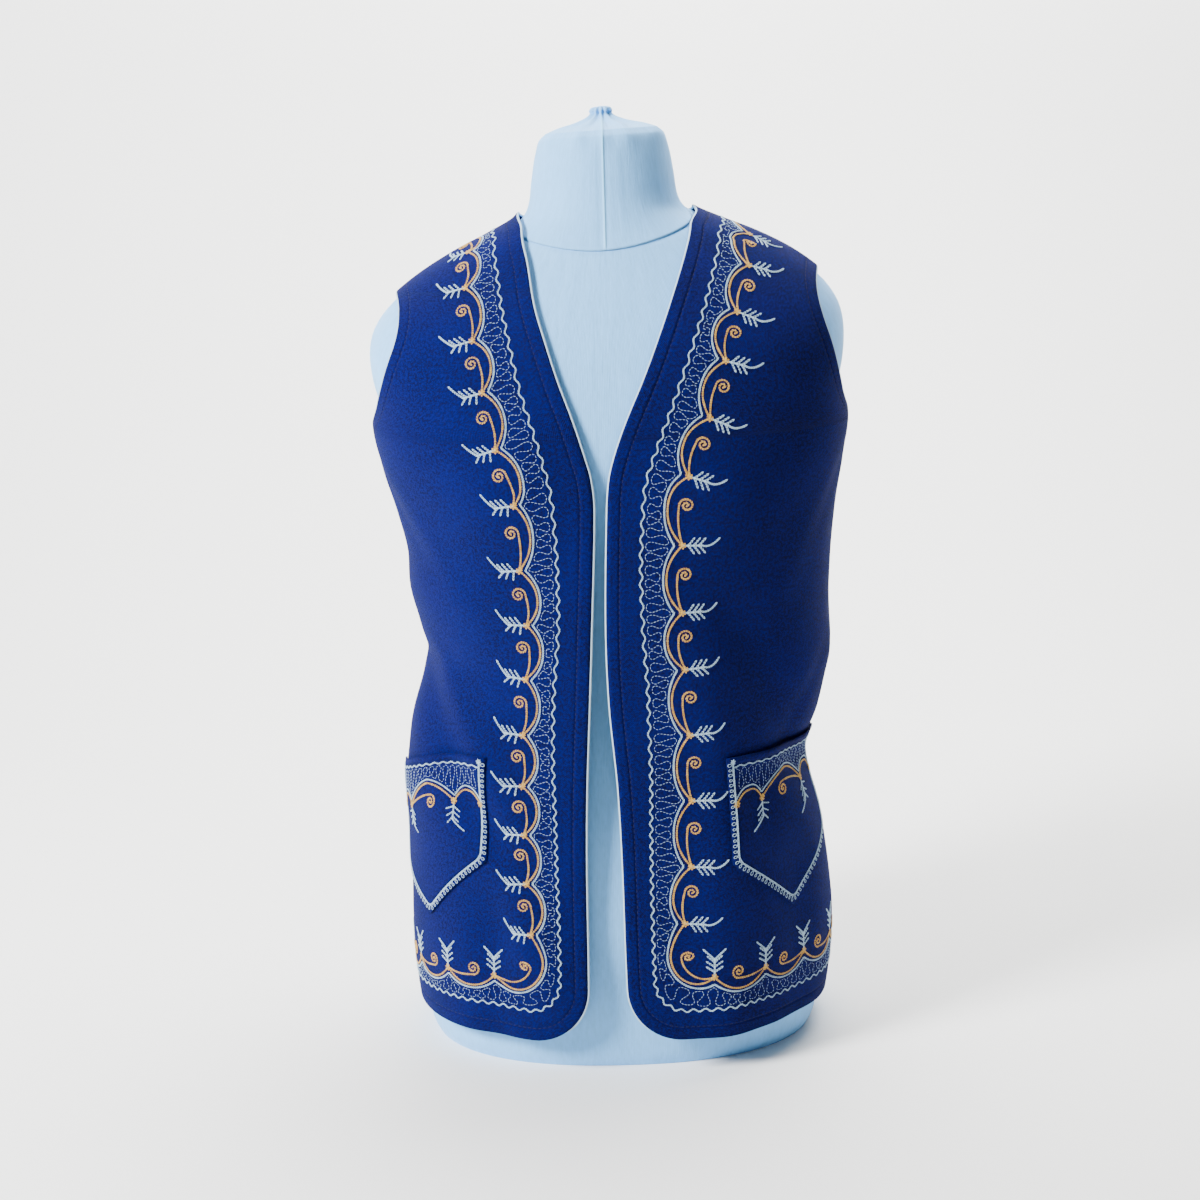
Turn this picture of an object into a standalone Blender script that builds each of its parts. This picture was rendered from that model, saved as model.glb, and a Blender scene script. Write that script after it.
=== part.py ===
"""An open folk vest with two pointed patch pockets and corded edges, on a limbless dress form.

Metres, +Z up. The front faces -Y, and the origin is the middle of the form's flat base. Right and left
are the wearer's, so the right side lies at -X. Every piece is worked out from the form's sections, and
from the vest's ease over them.
"""

import math
from collections import namedtuple

import bmesh
import bpy
from mathutils import Vector

RIGHT = -1
LEFT = 1

# Driving dimensions of the vest.
HEM_HEIGHT = 0.0300
CORNER_RADIUS = 0.042
UNDERARM_HEIGHT = 0.488
SHOULDER_TIP_HEIGHT = 0.595
BACK_NECK_HEIGHT = 0.632
NECK_POINT_HEIGHT = 0.645
NECK_HALF_WIDTH = 0.060
CLOTH_THICKNESS = 0.0020
SIDE_SEAM_TURN = 96.0
ARMHOLE_CUT_FRONT = {RIGHT: 23.0, LEFT: 21.5}
ARMHOLE_CUT_BACK = 20.0
ARMHOLE_SQUARENESS = 2.2
NECK_POINT_TURN = 5.0
LEAST_EASE = 0.0026
EASE_BLEND = 0.0020
RIGHT_LIFT = 0.003
RIGHT_DROP = 0.027
RIGHT_NECK_RISE = 0.0040

# Patch pockets, measured on the cloth.
POCKET_FROM_EDGE = {RIGHT: 0.077, LEFT: 0.082}
POCKET_WIDTH = 0.121
POCKET_TOP_HEIGHT = 0.247
POCKET_SIDE = 0.081
POCKET_POINT = 0.046
POCKET_THICKNESS = 0.0014
POCKET_GAP = 0.00035
POCKET_MOUTH_LIFT = 0.0026

# Corded edge and the gaps that part the pieces.
CORD_RADIUS = 0.0015
CORD_GAP = 0.0008
SEAM_GAP = 0.0003
NECK_SEAM_GAP = 0.00036

# The form.
NECK_SEAM_FRONT = 0.6205
NECK_SEAM_BACK = 0.6770
NECK_TOP_HEIGHT = 0.707
BUST_HEIGHT = 0.455
BUST_TURN = 36.0
BUST_RISE = 0.006
LEAN = 0.045
LEAN_FROM = 0.46
LEAN_TO = 0.62

# How finely each piece is divided.
EDGE_COLUMNS = 5
POCKET_COLUMNS = 8
SIDE_COLUMNS = 2
FRONT_COLUMNS = EDGE_COLUMNS + POCKET_COLUMNS + SIDE_COLUMNS
BACK_COLUMNS = 11
CORNER_ROWS = 5
SKIRT_ROWS = 3
POCKET_POINT_ROWS = 4
POCKET_SIDE_ROWS = 4
BODY_ROWS = 11
ARMHOLE_ROWS = 10
SLOPE_ROWS = 4
NECK_ROWS = 4
FORM_SEGMENTS = 40
ROW_SAMPLES = 60

Section = namedtuple("Section", "height half_width front back squareness")
FORM_SECTIONS = [
    Section(0.000, 0.1530, 0.1090, 0.1010, 2.30),
    Section(0.012, 0.1570, 0.1130, 0.1050, 2.30),
    Section(0.060, 0.1600, 0.1160, 0.1120, 2.30),
    Section(0.105, 0.1612, 0.1180, 0.1160, 2.30),
    Section(0.180, 0.1520, 0.1120, 0.1080, 2.28),
    Section(0.240, 0.1370, 0.1030, 0.0950, 2.22),
    Section(0.290, 0.1285, 0.0980, 0.0880, 2.20),
    Section(0.340, 0.1330, 0.1020, 0.0920, 2.22),
    Section(0.400, 0.1480, 0.1120, 0.1020, 2.26),
    Section(0.450, 0.1580, 0.1180, 0.1100, 2.30),
    Section(0.490, 0.1680, 0.1165, 0.1120, 2.35),
    Section(0.520, 0.1780, 0.1090, 0.1100, 2.40),
    Section(0.545, 0.1815, 0.1000, 0.1050, 2.40),
    Section(0.565, 0.1790, 0.0910, 0.0980, 2.30),
    Section(0.580, 0.1710, 0.0835, 0.0930, 2.20),
    Section(0.595, 0.1560, 0.0755, 0.0870, 2.10),
    Section(0.610, 0.1350, 0.0675, 0.0810, 2.04),
    Section(0.624, 0.1090, 0.0605, 0.0760, 2.00),
    Section(0.636, 0.0815, 0.0550, 0.0710, 2.00),
    Section(0.646, 0.0620, 0.0515, 0.0670, 2.00),
    Section(0.656, 0.0565, 0.0480, 0.0635, 2.00),
    Section(0.672, 0.0540, 0.0455, 0.0600, 2.00),
    Section(0.692, 0.0505, 0.0430, 0.0570, 2.00),
    Section(0.702, 0.0475, 0.0405, 0.0540, 2.00),
    Section(0.707, 0.0420, 0.0355, 0.0480, 2.00),
]

# How far the vest's inner face stands off the form, at the wearer's right and left side, front and back.
Ease = namedtuple("Ease", "height right left front back")
VEST_EASE = [
    Ease(0.024, 0.0040, 0.0045, 0.0170, 0.0120),
    Ease(0.060, 0.0055, 0.0075, 0.0150, 0.0085),
    Ease(0.100, 0.0045, 0.0070, 0.0110, 0.0050),
    Ease(0.140, 0.0070, 0.0065, 0.0105, 0.0060),
    Ease(0.180, 0.0125, 0.0060, 0.0130, 0.0090),
    Ease(0.214, 0.0220, 0.0045, 0.0160, 0.0130),
    Ease(0.232, 0.0250, 0.0080, 0.0180, 0.0150),
    Ease(0.264, 0.0265, 0.0270, 0.0220, 0.0180),
    Ease(0.298, 0.0200, 0.0385, 0.0245, 0.0190),
    Ease(0.315, 0.0160, 0.0390, 0.0240, 0.0180),
    Ease(0.335, 0.0175, 0.0355, 0.0225, 0.0160),
    Ease(0.364, 0.0180, 0.0290, 0.0190, 0.0120),
    Ease(0.395, 0.0105, 0.0225, 0.0145, 0.0080),
    Ease(0.425, 0.0110, 0.0195, 0.0095, 0.0045),
    Ease(0.457, 0.0140, 0.0185, 0.0050, 0.0025),
    Ease(0.488, 0.0120, 0.0150, 0.0030, 0.0018),
    Ease(0.510, 0.0050, 0.0060, 0.0024, 0.0020),
    Ease(0.535, 0.0024, 0.0024, 0.0020, 0.0020),
    Ease(0.565, 0.0026, 0.0026, 0.0022, 0.0022),
    Ease(0.595, 0.0032, 0.0032, 0.0028, 0.0028),
    Ease(0.622, 0.0040, 0.0040, 0.0032, 0.0034),
    Ease(0.640, 0.0048, 0.0048, 0.0036, 0.0040),
    Ease(0.660, 0.0044, 0.0044, 0.0036, 0.0040),
]

# The two front edges: half the gap between them at each height, and how far its middle lies off the
# centre line.
Edge = namedtuple("Edge", "height half_gap shift")
FRONT_EDGES = [
    Edge(0.024, 0.0160, -0.0120),
    Edge(0.100, 0.0146, -0.0124),
    Edge(0.170, 0.0138, -0.0124),
    Edge(0.230, 0.0118, -0.0124),
    Edge(0.290, 0.0078, -0.0130),
    Edge(0.350, 0.0056, -0.0120),
    Edge(0.440, 0.0050, -0.0084),
    Edge(0.462, 0.0070, -0.0082),
    Edge(0.476, 0.0106, -0.0082),
    Edge(0.490, 0.0151, -0.0078),
    Edge(0.504, 0.0202, -0.0071),
    Edge(0.531, 0.0312, -0.0056),
    Edge(0.558, 0.0410, -0.0040),
    Edge(0.586, 0.0506, -0.0024),
    Edge(0.613, 0.0587, -0.0006),
    Edge(0.632, 0.0640, -0.0006),
    Edge(0.645, 0.0640, -0.0006),
]

# The largest soft folds: where each crosses its top and its foot, in degrees round from the centre front,
# how far it stands out (or in, where negative), and how wide it is in degrees.
Fold = namedtuple("Fold", "top foot top_turn foot_turn depth width")
FOLDS = [
    Fold(0.335, 0.150, -84.0, -30.0, -0.0055, 9.0),
    Fold(0.300, 0.050, -50.0, -22.0, 0.0040, 8.0),
    Fold(0.170, 0.020, -44.0, -41.0, -0.0040, 7.0),
    Fold(0.400, 0.200, 30.0, 74.0, -0.0060, 9.0),
    Fold(0.380, 0.090, 22.0, 45.0, 0.0045, 9.0),
    Fold(0.240, 0.020, 30.0, 33.0, 0.0050, 8.0),
    Fold(0.200, 0.020, 60.0, 58.0, -0.0035, 8.0),
    Fold(0.380, 0.040, 118.0, 124.0, -0.0050, 9.0),
    Fold(0.300, 0.020, 142.0, 147.0, 0.0050, 9.0),
    Fold(0.360, 0.090, 171.0, 168.0, -0.0050, 10.0),
    Fold(0.360, 0.060, -164.0, -167.0, 0.0040, 10.0),
    Fold(0.330, 0.020, -139.0, -144.0, -0.0050, 9.0),
    Fold(0.300, 0.020, -116.0, -120.0, 0.0045, 9.0),
]


def smooth_value(rows, column, height):
    """A column of a table at any height, on a smooth curve through its rows."""
    if height <= rows[0].height:
        return getattr(rows[0], column)
    if height >= rows[-1].height:
        return getattr(rows[-1], column)
    above = next(i for i, row in enumerate(rows) if row.height > height)

    def slope(i):
        low = rows[max(i - 1, 0)]
        high = rows[min(i + 1, len(rows) - 1)]
        return (getattr(high, column) - getattr(low, column)) / (high.height - low.height)

    start = rows[above - 1]
    end = rows[above]
    span = end.height - start.height
    t = (height - start.height) / span
    from_start = (1 + 2 * t) * (1 - t) ** 2 * getattr(start, column)
    from_end = t * t * (3 - 2 * t) * getattr(end, column)
    bend = t * (1 - t) ** 2 * slope(above - 1) - t * t * (1 - t) * slope(above)
    return from_start + from_end + bend * span


def smooth_step(low, high, value):
    t = min(1.0, max(0.0, (value - low) / (high - low)))
    return t * t * (3 - 2 * t)


def bell(distance, width):
    return math.exp(-((distance / width) ** 2))


def leaned(point):
    """The form's upper half leans a little to its right, and the vest with it."""
    tilt = LEAN * smooth_step(LEAN_FROM, LEAN_TO, point.z)
    return Vector((point.x, point.y, point.z + tilt * point.x))


def ring_radius(turn, half_width, front, back, squareness):
    """The distance from the axis to a rounded-square ring, turn degrees round from the front."""
    angle = math.radians(turn)
    depth = front if math.cos(angle) > 0 else back
    across = abs(math.sin(angle) / half_width) ** squareness
    along = abs(math.cos(angle) / depth) ** squareness
    return (across + along) ** (-1 / squareness)


def bust(turn, height):
    return BUST_RISE * bell(abs(turn) - BUST_TURN, 17.0) * bell(height - BUST_HEIGHT, 0.045)


def fold_height(turn, height):
    """How far the folds move the cloth at a place on the vest."""
    total = 0.0
    for fold in FOLDS:
        share = min(1.0, max(0.0, (fold.top - height) / (fold.top - fold.foot)))
        middle = fold.top_turn + share * (fold.foot_turn - fold.top_turn)
        away = (turn - middle + 180) % 360 - 180
        fade = smooth_step(0.0, 0.35, share)
        if fold.foot > HEM_HEIGHT:
            fade *= smooth_step(fold.foot - 0.03, fold.foot + 0.05, height)
        total += fold.depth * bell(away, fold.width) * fade
    return total


def polar(turn, height, radius):
    angle = math.radians(turn)
    return Vector((radius * math.sin(angle), -radius * math.cos(angle), height))


def form_sizes(height):
    return [smooth_value(FORM_SECTIONS, column, height) for column in Section._fields[1:]]


def form_point(turn, height):
    return polar(turn, height, ring_radius(turn, *form_sizes(height)) + bust(turn, height))


def vest_sizes(side, height):
    """Half width, front and back depth and squareness of the vest's inner face on one side."""
    half_width, front, back, squareness = form_sizes(height)
    ease = "right" if side == RIGHT else "left"
    return (
        half_width + smooth_value(VEST_EASE, ease, height),
        front + smooth_value(VEST_EASE, "front", height),
        back + smooth_value(VEST_EASE, "back", height),
        squareness,
    )


def hung(turn, height):
    """Where the cloth hangs: on the right it has slipped down at the side and rides up at the neck."""
    before = smooth_step(8, 40, -turn) * (1 - smooth_step(120, 170, -turn))
    aside = smooth_step(48, 92, -turn) * (1 - smooth_step(100, 160, -turn))
    level = smooth_step(HEM_HEIGHT, 0.130, height) * (1 - smooth_step(0.260, 0.400, height))
    rise = RIGHT_NECK_RISE * before * smooth_step(0.575, 0.615, height)
    return height + (RIGHT_LIFT * before - RIGHT_DROP * aside) * level + rise


def vest_point(turn, height):
    """A point of the vest's inner face, turn degrees round to the wearer's left of the centre front."""
    side = RIGHT if turn < 0 else LEFT
    height = hung(turn, height)
    draped = ring_radius(turn, *vest_sizes(side, height)) + fold_height(turn, height)
    under = ring_radius(turn, *form_sizes(height))
    spare = draped - under - LEAST_EASE
    spare = (spare + math.sqrt(spare**2 + EASE_BLEND**2)) / 2
    return polar(turn, height, under + bust(turn, height) + LEAST_EASE + spare)


def turn_at(side, height, x, at_back=False):
    """How far round the vest a distance x from the centre line lies."""
    half_width, front, back, squareness = vest_sizes(side, height)
    depth = back if at_back else front
    share = min(1.0, abs(x) / half_width)
    y = depth * (1 - share**squareness) ** (1 / squareness)
    turn = math.degrees(math.atan2(x, y))
    return 180 - turn if at_back else turn


def seam_turn(height, outward_side):
    """The turn of one side's cut edge at the side seam, which runs up to the ridge of the shoulder."""
    share = smooth_step(UNDERARM_HEIGHT, SHOULDER_TIP_HEIGHT, height)
    middle = SIDE_SEAM_TURN + (90 - SIDE_SEAM_TURN) * share
    gap = math.degrees(SEAM_GAP / 2 / form_sizes(height)[0])
    return middle + outward_side * gap


def armhole_share(height):
    """How much of its full depth the armhole has at a height, from 0 at its two ends to 1 midway."""
    middle = (UNDERARM_HEIGHT + SHOULDER_TIP_HEIGHT) / 2
    half = (SHOULDER_TIP_HEIGHT - UNDERARM_HEIGHT) / 2
    left_over = max(0.0, 1 - abs((height - middle) / half) ** ARMHOLE_SQUARENESS)
    return left_over ** (1 / ARMHOLE_SQUARENESS)


def front_edge(side, height):
    """Distance of a front edge from the centre line, with the hem's corner rounded off."""
    x = smooth_value(FRONT_EDGES, "half_gap", height) + side * smooth_value(FRONT_EDGES, "shift", height)
    up = height - HEM_HEIGHT
    if up < CORNER_RADIUS:
        x += CORNER_RADIUS - math.sqrt(CORNER_RADIUS**2 - (CORNER_RADIUS - up) ** 2)
    return x


def even_rows(low, high, count):
    return [low + (high - low) * i / count for i in range(count)]


def row_heights():
    """Heights of the rows that front and back share, closer together round the curves."""
    corner_top = HEM_HEIGHT + CORNER_RADIUS
    pocket_side_foot = POCKET_TOP_HEIGHT - POCKET_SIDE
    pocket_foot = pocket_side_foot - POCKET_POINT
    heights = []
    for i in range(CORNER_ROWS):
        angle = math.radians(90 * i / CORNER_ROWS)
        heights.append(HEM_HEIGHT + CORNER_RADIUS * (1 - math.cos(angle)))
    heights += even_rows(corner_top, pocket_foot, SKIRT_ROWS)
    heights += even_rows(pocket_foot, pocket_side_foot, POCKET_POINT_ROWS)
    heights += even_rows(pocket_side_foot, POCKET_TOP_HEIGHT, POCKET_SIDE_ROWS)
    heights += even_rows(POCKET_TOP_HEIGHT, UNDERARM_HEIGHT, BODY_ROWS)
    middle = (UNDERARM_HEIGHT + SHOULDER_TIP_HEIGHT) / 2
    half = (SHOULDER_TIP_HEIGHT - UNDERARM_HEIGHT) / 2
    for i in range(ARMHOLE_ROWS):
        heights.append(middle - half * math.cos(math.pi * i / ARMHOLE_ROWS))
    heights += even_rows(SHOULDER_TIP_HEIGHT, BACK_NECK_HEIGHT, SLOPE_ROWS)
    for i in range(NECK_ROWS + 1):
        rise = 1 - math.cos(math.pi / 2 * i / NECK_ROWS)
        heights.append(BACK_NECK_HEIGHT + (NECK_POINT_HEIGHT - BACK_NECK_HEIGHT) * rise)
    return heights


def front_limits(side, height):
    """The turns at which a row of a front starts and ends."""
    outer = seam_turn(height, -1)
    if UNDERARM_HEIGHT < height < SHOULDER_TIP_HEIGHT:
        outer -= ARMHOLE_CUT_FRONT[side] * armhole_share(height)
    inner = turn_at(side, height, front_edge(side, height))
    if height > BACK_NECK_HEIGHT:
        top_share = (height - BACK_NECK_HEIGHT) / (NECK_POINT_HEIGHT - BACK_NECK_HEIGHT)
        inner += (90 - NECK_POINT_TURN - inner) * top_share**3
    return inner, outer


def back_limits(side, height):
    """The turns at which half a row of the back starts, at its middle, and ends, at its side."""
    outer = seam_turn(height, 1)
    if UNDERARM_HEIGHT < height < SHOULDER_TIP_HEIGHT:
        outer += ARMHOLE_CUT_BACK * armhole_share(height)
    inner = 180.0
    if height > BACK_NECK_HEIGHT:
        down = (NECK_POINT_HEIGHT - height) / (NECK_POINT_HEIGHT - BACK_NECK_HEIGHT)
        x = NECK_HALF_WIDTH * math.sqrt(max(0.0, 1 - down**2))
        inner = turn_at(side, height, x, at_back=True)
        inner += (90 + NECK_POINT_TURN - inner) * (1 - down) ** 3
    return inner, outer


def turns_at_shares(side, height, start, end, shares_of):
    """Turns from start to end at given shares of the way along the cloth, which its length decides."""
    turns = [start + (end - start) * i / ROW_SAMPLES for i in range(ROW_SAMPLES + 1)]
    along = [0.0]
    for first, second in zip(turns, turns[1:]):
        step = vest_point(side * second, height) - vest_point(side * first, height)
        along.append(along[-1] + step.length)
    result = []
    for share_along in shares_of(along[-1]):
        goal = along[-1] * share_along
        i = next((i for i in range(ROW_SAMPLES) if along[i + 1] >= goal), ROW_SAMPLES - 1)
        share = (goal - along[i]) / (along[i + 1] - along[i])
        result.append(turns[i] + (turns[i + 1] - turns[i]) * min(1.0, share))
    return result


def even_shares(count):
    return [i / count for i in range(count + 1)]


def front_shares(side, height, length):
    """Where a front's columns lie: beside the pocket's edges at its heights, and even far from it."""
    inner = POCKET_FROM_EDGE[side] / length
    outer = (POCKET_FROM_EDGE[side] + POCKET_WIDTH) / length
    beside = [inner * i / EDGE_COLUMNS for i in range(EDGE_COLUMNS)]
    beside += [inner + (outer - inner) * i / POCKET_COLUMNS for i in range(POCKET_COLUMNS)]
    beside += [outer + (1 - outer) * i / SIDE_COLUMNS for i in range(SIDE_COLUMNS + 1)]
    even = even_shares(FRONT_COLUMNS)
    foot = POCKET_TOP_HEIGHT - POCKET_SIDE - POCKET_POINT
    fade = 1 - smooth_step(POCKET_TOP_HEIGHT, UNDERARM_HEIGHT, height)
    fade *= smooth_step(HEM_HEIGHT, foot, height)
    return [a + (b - a) * fade for a, b in zip(even, beside)]


def front_turns(side, height):
    inner, outer = front_limits(side, height)
    return turns_at_shares(side, height, inner, outer, lambda length: front_shares(side, height, length))


def back_turns(side, height):
    inner, outer = back_limits(side, height)
    return turns_at_shares(side, height, inner, outer, lambda length: even_shares(BACK_COLUMNS))


def outward(turn, height):
    """The way out of the cloth at a place on the vest."""
    small_turn = 0.2
    small_rise = 0.0005
    across = vest_point(turn + small_turn, height) - vest_point(turn - small_turn, height)
    up = vest_point(turn, height + small_rise) - vest_point(turn, height - small_rise)
    return across.cross(up).normalized()


def new_object(name, data, colour, roughness):
    """An object of the garment's collection with its own material."""
    material = bpy.data.materials.new(name)
    material.use_nodes = True
    shader = material.node_tree.nodes["Principled BSDF"]
    shader.inputs["Base Color"].default_value = (*colour, 1)
    shader.inputs["Roughness"].default_value = roughness
    shader.inputs["Metallic"].default_value = 0.0
    material.diffuse_color = (*colour, 1)
    data.materials.append(material)
    made = bpy.data.objects.new(name, data)
    garment.objects.link(made)
    return made


def mesh_from_rows(name, groups):
    """A mesh between neighbouring rows of points. A row that is two points longer comes to a point."""
    bm = bmesh.new()
    for rows in groups:
        grid = [[bm.verts.new(leaned(point)) for point in row] for row in rows]
        for low, high in zip(grid, grid[1:]):
            spare = (len(high) - len(low)) // 2
            for i in range(len(low) - 1):
                bm.faces.new((low[i], low[i + 1], high[i + 1 + spare], high[i + spare]))
            if spare:
                bm.faces.new((low[0], high[1], high[0]))
                bm.faces.new((low[-1], high[-1], high[-2]))
    bmesh.ops.remove_doubles(bm, verts=bm.verts, dist=1e-5)
    mesh = bpy.data.meshes.new(name)
    bm.to_mesh(mesh)
    bm.free()
    return mesh


def cloth_wall(name, groups, thickness, colour):
    """Cloth: an open surface, thickened outwards from its inner face."""
    mesh = mesh_from_rows(name, groups)
    made = new_object(name, mesh, colour, 0.9)
    wall = made.modifiers.new("Cloth", "SOLIDIFY")
    wall.thickness = thickness
    wall.offset = 1
    wall.use_even_offset = True
    mesh.shade_smooth()
    mesh.set_sharp_from_angle(angle=math.radians(50))
    return made


def front_rows(side):
    """Rows of a front's inner face, from the wearer's right to the wearer's left."""
    rows = []
    for height in row_heights():
        turns = [side * turn for turn in front_turns(side, height)]
        rows.append([vest_point(turn, height) for turn in sorted(turns)])
    return rows


def back_half_rows(side):
    rows = []
    for height in row_heights():
        points = [vest_point(side * turn, height) for turn in back_turns(side, height)]
        rows.append(points if side == LEFT else points[::-1])
    return rows


def pocket_rows(side):
    """A patch pocket's inner face: the front's own points, moved out by a gap that opens at the mouth."""
    first = CORNER_ROWS + SKIRT_ROWS
    count = POCKET_POINT_ROWS + POCKET_SIDE_ROWS
    middle = POCKET_COLUMNS // 2
    rows = []
    for row, height in enumerate(row_heights()[first : first + count + 1]):
        reach = min(row, middle)
        turns = front_turns(side, height)
        points = []
        for column in range(middle - reach, middle + reach + 1):
            turn = side * turns[EDGE_COLUMNS + column]
            mouth = POCKET_MOUTH_LIFT * (1 - (column / middle - 1) ** 2) * (row / count) ** 5
            lift = CLOTH_THICKNESS + POCKET_GAP + mouth
            points.append(vest_point(turn, height) + outward(turn, height) * lift)
        rows.append(points if side == LEFT else points[::-1])
    return rows


def edge_cord(name, places, closed=False):
    """A cord beside a cloth edge. Each place is (turn, height), in order, with the cloth on its left."""
    points = []
    count = len(places)
    reach = CORD_RADIUS + CORD_GAP
    for i, (turn, height) in enumerate(places):
        before = places[(i - 1) % count] if closed or i > 0 else places[i]
        after = places[(i + 1) % count] if closed or i < count - 1 else places[i]
        normal = outward(turn, height)
        along = (vest_point(*after) - vest_point(*before)).normalized()
        aside = along.cross(normal).normalized()
        middle = vest_point(turn, height) + normal * (CLOTH_THICKNESS / 2)
        points.append(leaned(middle + aside * reach))
    curve = bpy.data.curves.new(name, "CURVE")
    curve.dimensions = "3D"
    curve.bevel_depth = CORD_RADIUS
    curve.bevel_resolution = 1
    curve.use_fill_caps = not closed
    spline = curve.splines.new("POLY")
    spline.points.add(count - 1)
    for spline_point, point in zip(spline.points, points):
        spline_point.co = (*point, 1)
    spline.use_cyclic_u = closed
    return new_object(name, curve, CORD_WHITE, 0.7)


def front_cord_places(side):
    """From the side seam along the hem, round the corner and up the front edge to the neck point."""
    heights = row_heights()
    places = [(side * turn, heights[0]) for turn in front_turns(side, heights[0])[::-1]]
    places += [(side * front_limits(side, height)[0], height) for height in heights[1:]]
    return places[::-1] if side == LEFT else places


def back_neck_places():
    """Along the back neckline, from the wearer's right neck point to the left one."""
    above = [height for height in row_heights() if height >= BACK_NECK_HEIGHT - 1e-9]
    places = [(-back_limits(RIGHT, height)[0], height) for height in above[::-1]]
    places += [(back_limits(LEFT, height)[0], height) for height in above[1:]]
    return places


def back_hem_places():
    """Along the back hem, from the wearer's left side seam to the right one."""
    height = row_heights()[0]
    places = [(turn, height) for turn in back_turns(LEFT, height)[::-1]]
    places += [(-turn, height) for turn in back_turns(RIGHT, height)[1:]]
    return places


def armhole_places(side):
    """Round the armhole: up its front edge, over the shoulder and down its back edge."""
    heights = [h for h in row_heights() if UNDERARM_HEIGHT + 1e-9 < h < SHOULDER_TIP_HEIGHT - 1e-9]
    places = [(side * front_limits(side, height)[1], height) for height in heights]
    places.append((side * 90.0, SHOULDER_TIP_HEIGHT))
    places += [(side * back_limits(side, height)[1], height) for height in heights[::-1]]
    places.append((side * SIDE_SEAM_TURN, UNDERARM_HEIGHT))
    return places if side == LEFT else places[::-1]


def form_turns():
    turns = [360 * k / FORM_SEGMENTS for k in range(FORM_SEGMENTS)]
    return [turn if turn <= 180 else turn - 360 for turn in turns]


def neck_seam(gap):
    """Heights of a ring beside the neck seam, which is low in front and rises round to the back."""
    shares = [(1 - math.cos(math.radians(turn))) / 2 for turn in form_turns()]
    return [NECK_SEAM_FRONT + (NECK_SEAM_BACK - NECK_SEAM_FRONT) * share + gap for share in shares]


def seam_middle(gap):
    """The middle of the cut at the neck seam."""
    return Vector((0, 0.008, (NECK_SEAM_FRONT + NECK_SEAM_BACK) / 2 + gap))


def form_rows(low, high, count):
    """Closed rings of the form at count + 1 even steps between two heights, or between two rings' own."""
    turns = form_turns()
    low = low if isinstance(low, list) else [low] * len(turns)
    high = high if isinstance(high, list) else [high] * len(turns)
    rows = []
    for i in range(count + 1):
        heights = [a + (b - a) * i / count for a, b in zip(low, high)]
        rows.append([form_point(turn, height) for turn, height in zip(turns, heights)])
    return rows


def closed_loft(rows, foot=None, crown=None):
    """A bmesh between closed rings. Each end is closed flat, or to a point where one is given."""
    bm = bmesh.new()
    grid = [[bm.verts.new(point) for point in row] for row in rows]
    count = len(grid[0])
    for low, high in zip(grid, grid[1:]):
        for i in range(count):
            k = (i + 1) % count
            bm.faces.new((low[i], low[k], high[k], high[i]))
    for ring, point in ((grid[0][::-1], foot), (grid[-1], crown)):
        if point is None:
            bm.faces.new(ring)
            continue
        tip = bm.verts.new(point)
        for i in range(count):
            bm.faces.new((ring[i], ring[(i + 1) % count], tip))
    return bm


def form_object(name, bm, angle):
    for vert in bm.verts:
        vert.co = leaned(vert.co)
    mesh = bpy.data.meshes.new(name)
    bm.to_mesh(mesh)
    bm.free()
    made = new_object(name, mesh, FORM_WHITE, 0.8)
    mesh.shade_smooth()
    mesh.set_sharp_from_angle(angle=math.radians(angle))
    return made


def make_torso():
    """The covered body of the form, flat underneath, up to the curved neck seam."""
    rows = form_rows(0.0, 0.012, 2)[:-1] + form_rows(0.012, 0.480, 14)[:-1]
    rows += form_rows(0.480, 0.595, 8)[:-1] + form_rows(0.595, neck_seam(-NECK_SEAM_GAP / 2), 10)
    bm = closed_loft(rows, crown=seam_middle(-NECK_SEAM_GAP / 2))
    return form_object("form_torso", bm, 40)


def make_neck():
    """The neck above its seam, with the cover gathered over its top into a small tuft."""
    rows = form_rows(neck_seam(NECK_SEAM_GAP / 2), 0.692, 9)[:-1] + form_rows(0.692, NECK_TOP_HEIGHT, 3)
    centre = Vector((0, 0.008, 0))
    gather = namedtuple("Gather", "radius height")
    tuft = [
        gather(0.030, 0.7100),
        gather(0.017, 0.7125),
        gather(0.0085, 0.7155),
        gather(0.0055, 0.7185),
        gather(0.0070, 0.7215),
        gather(0.0055, 0.7240),
    ]
    for ring in tuft:
        turns = [360 * k / FORM_SEGMENTS for k in range(FORM_SEGMENTS)]
        rows.append([polar(turn, ring.height, ring.radius) + centre for turn in turns])
    bm = closed_loft(rows, foot=seam_middle(NECK_SEAM_GAP / 2), crown=centre + Vector((0, 0, 0.7248)))
    return form_object("form_neck", bm, 40)


VEST_BLUE = (0.012, 0.030, 0.240)
CORD_WHITE = (0.80, 0.86, 0.90)
FORM_WHITE = (0.62, 0.74, 0.82)

for old in list(bpy.data.objects):
    bpy.data.objects.remove(old, do_unlink=True)
garment = bpy.data.collections.new("Embroidered_vest_on_form")
bpy.context.scene.collection.children.link(garment)

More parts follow.
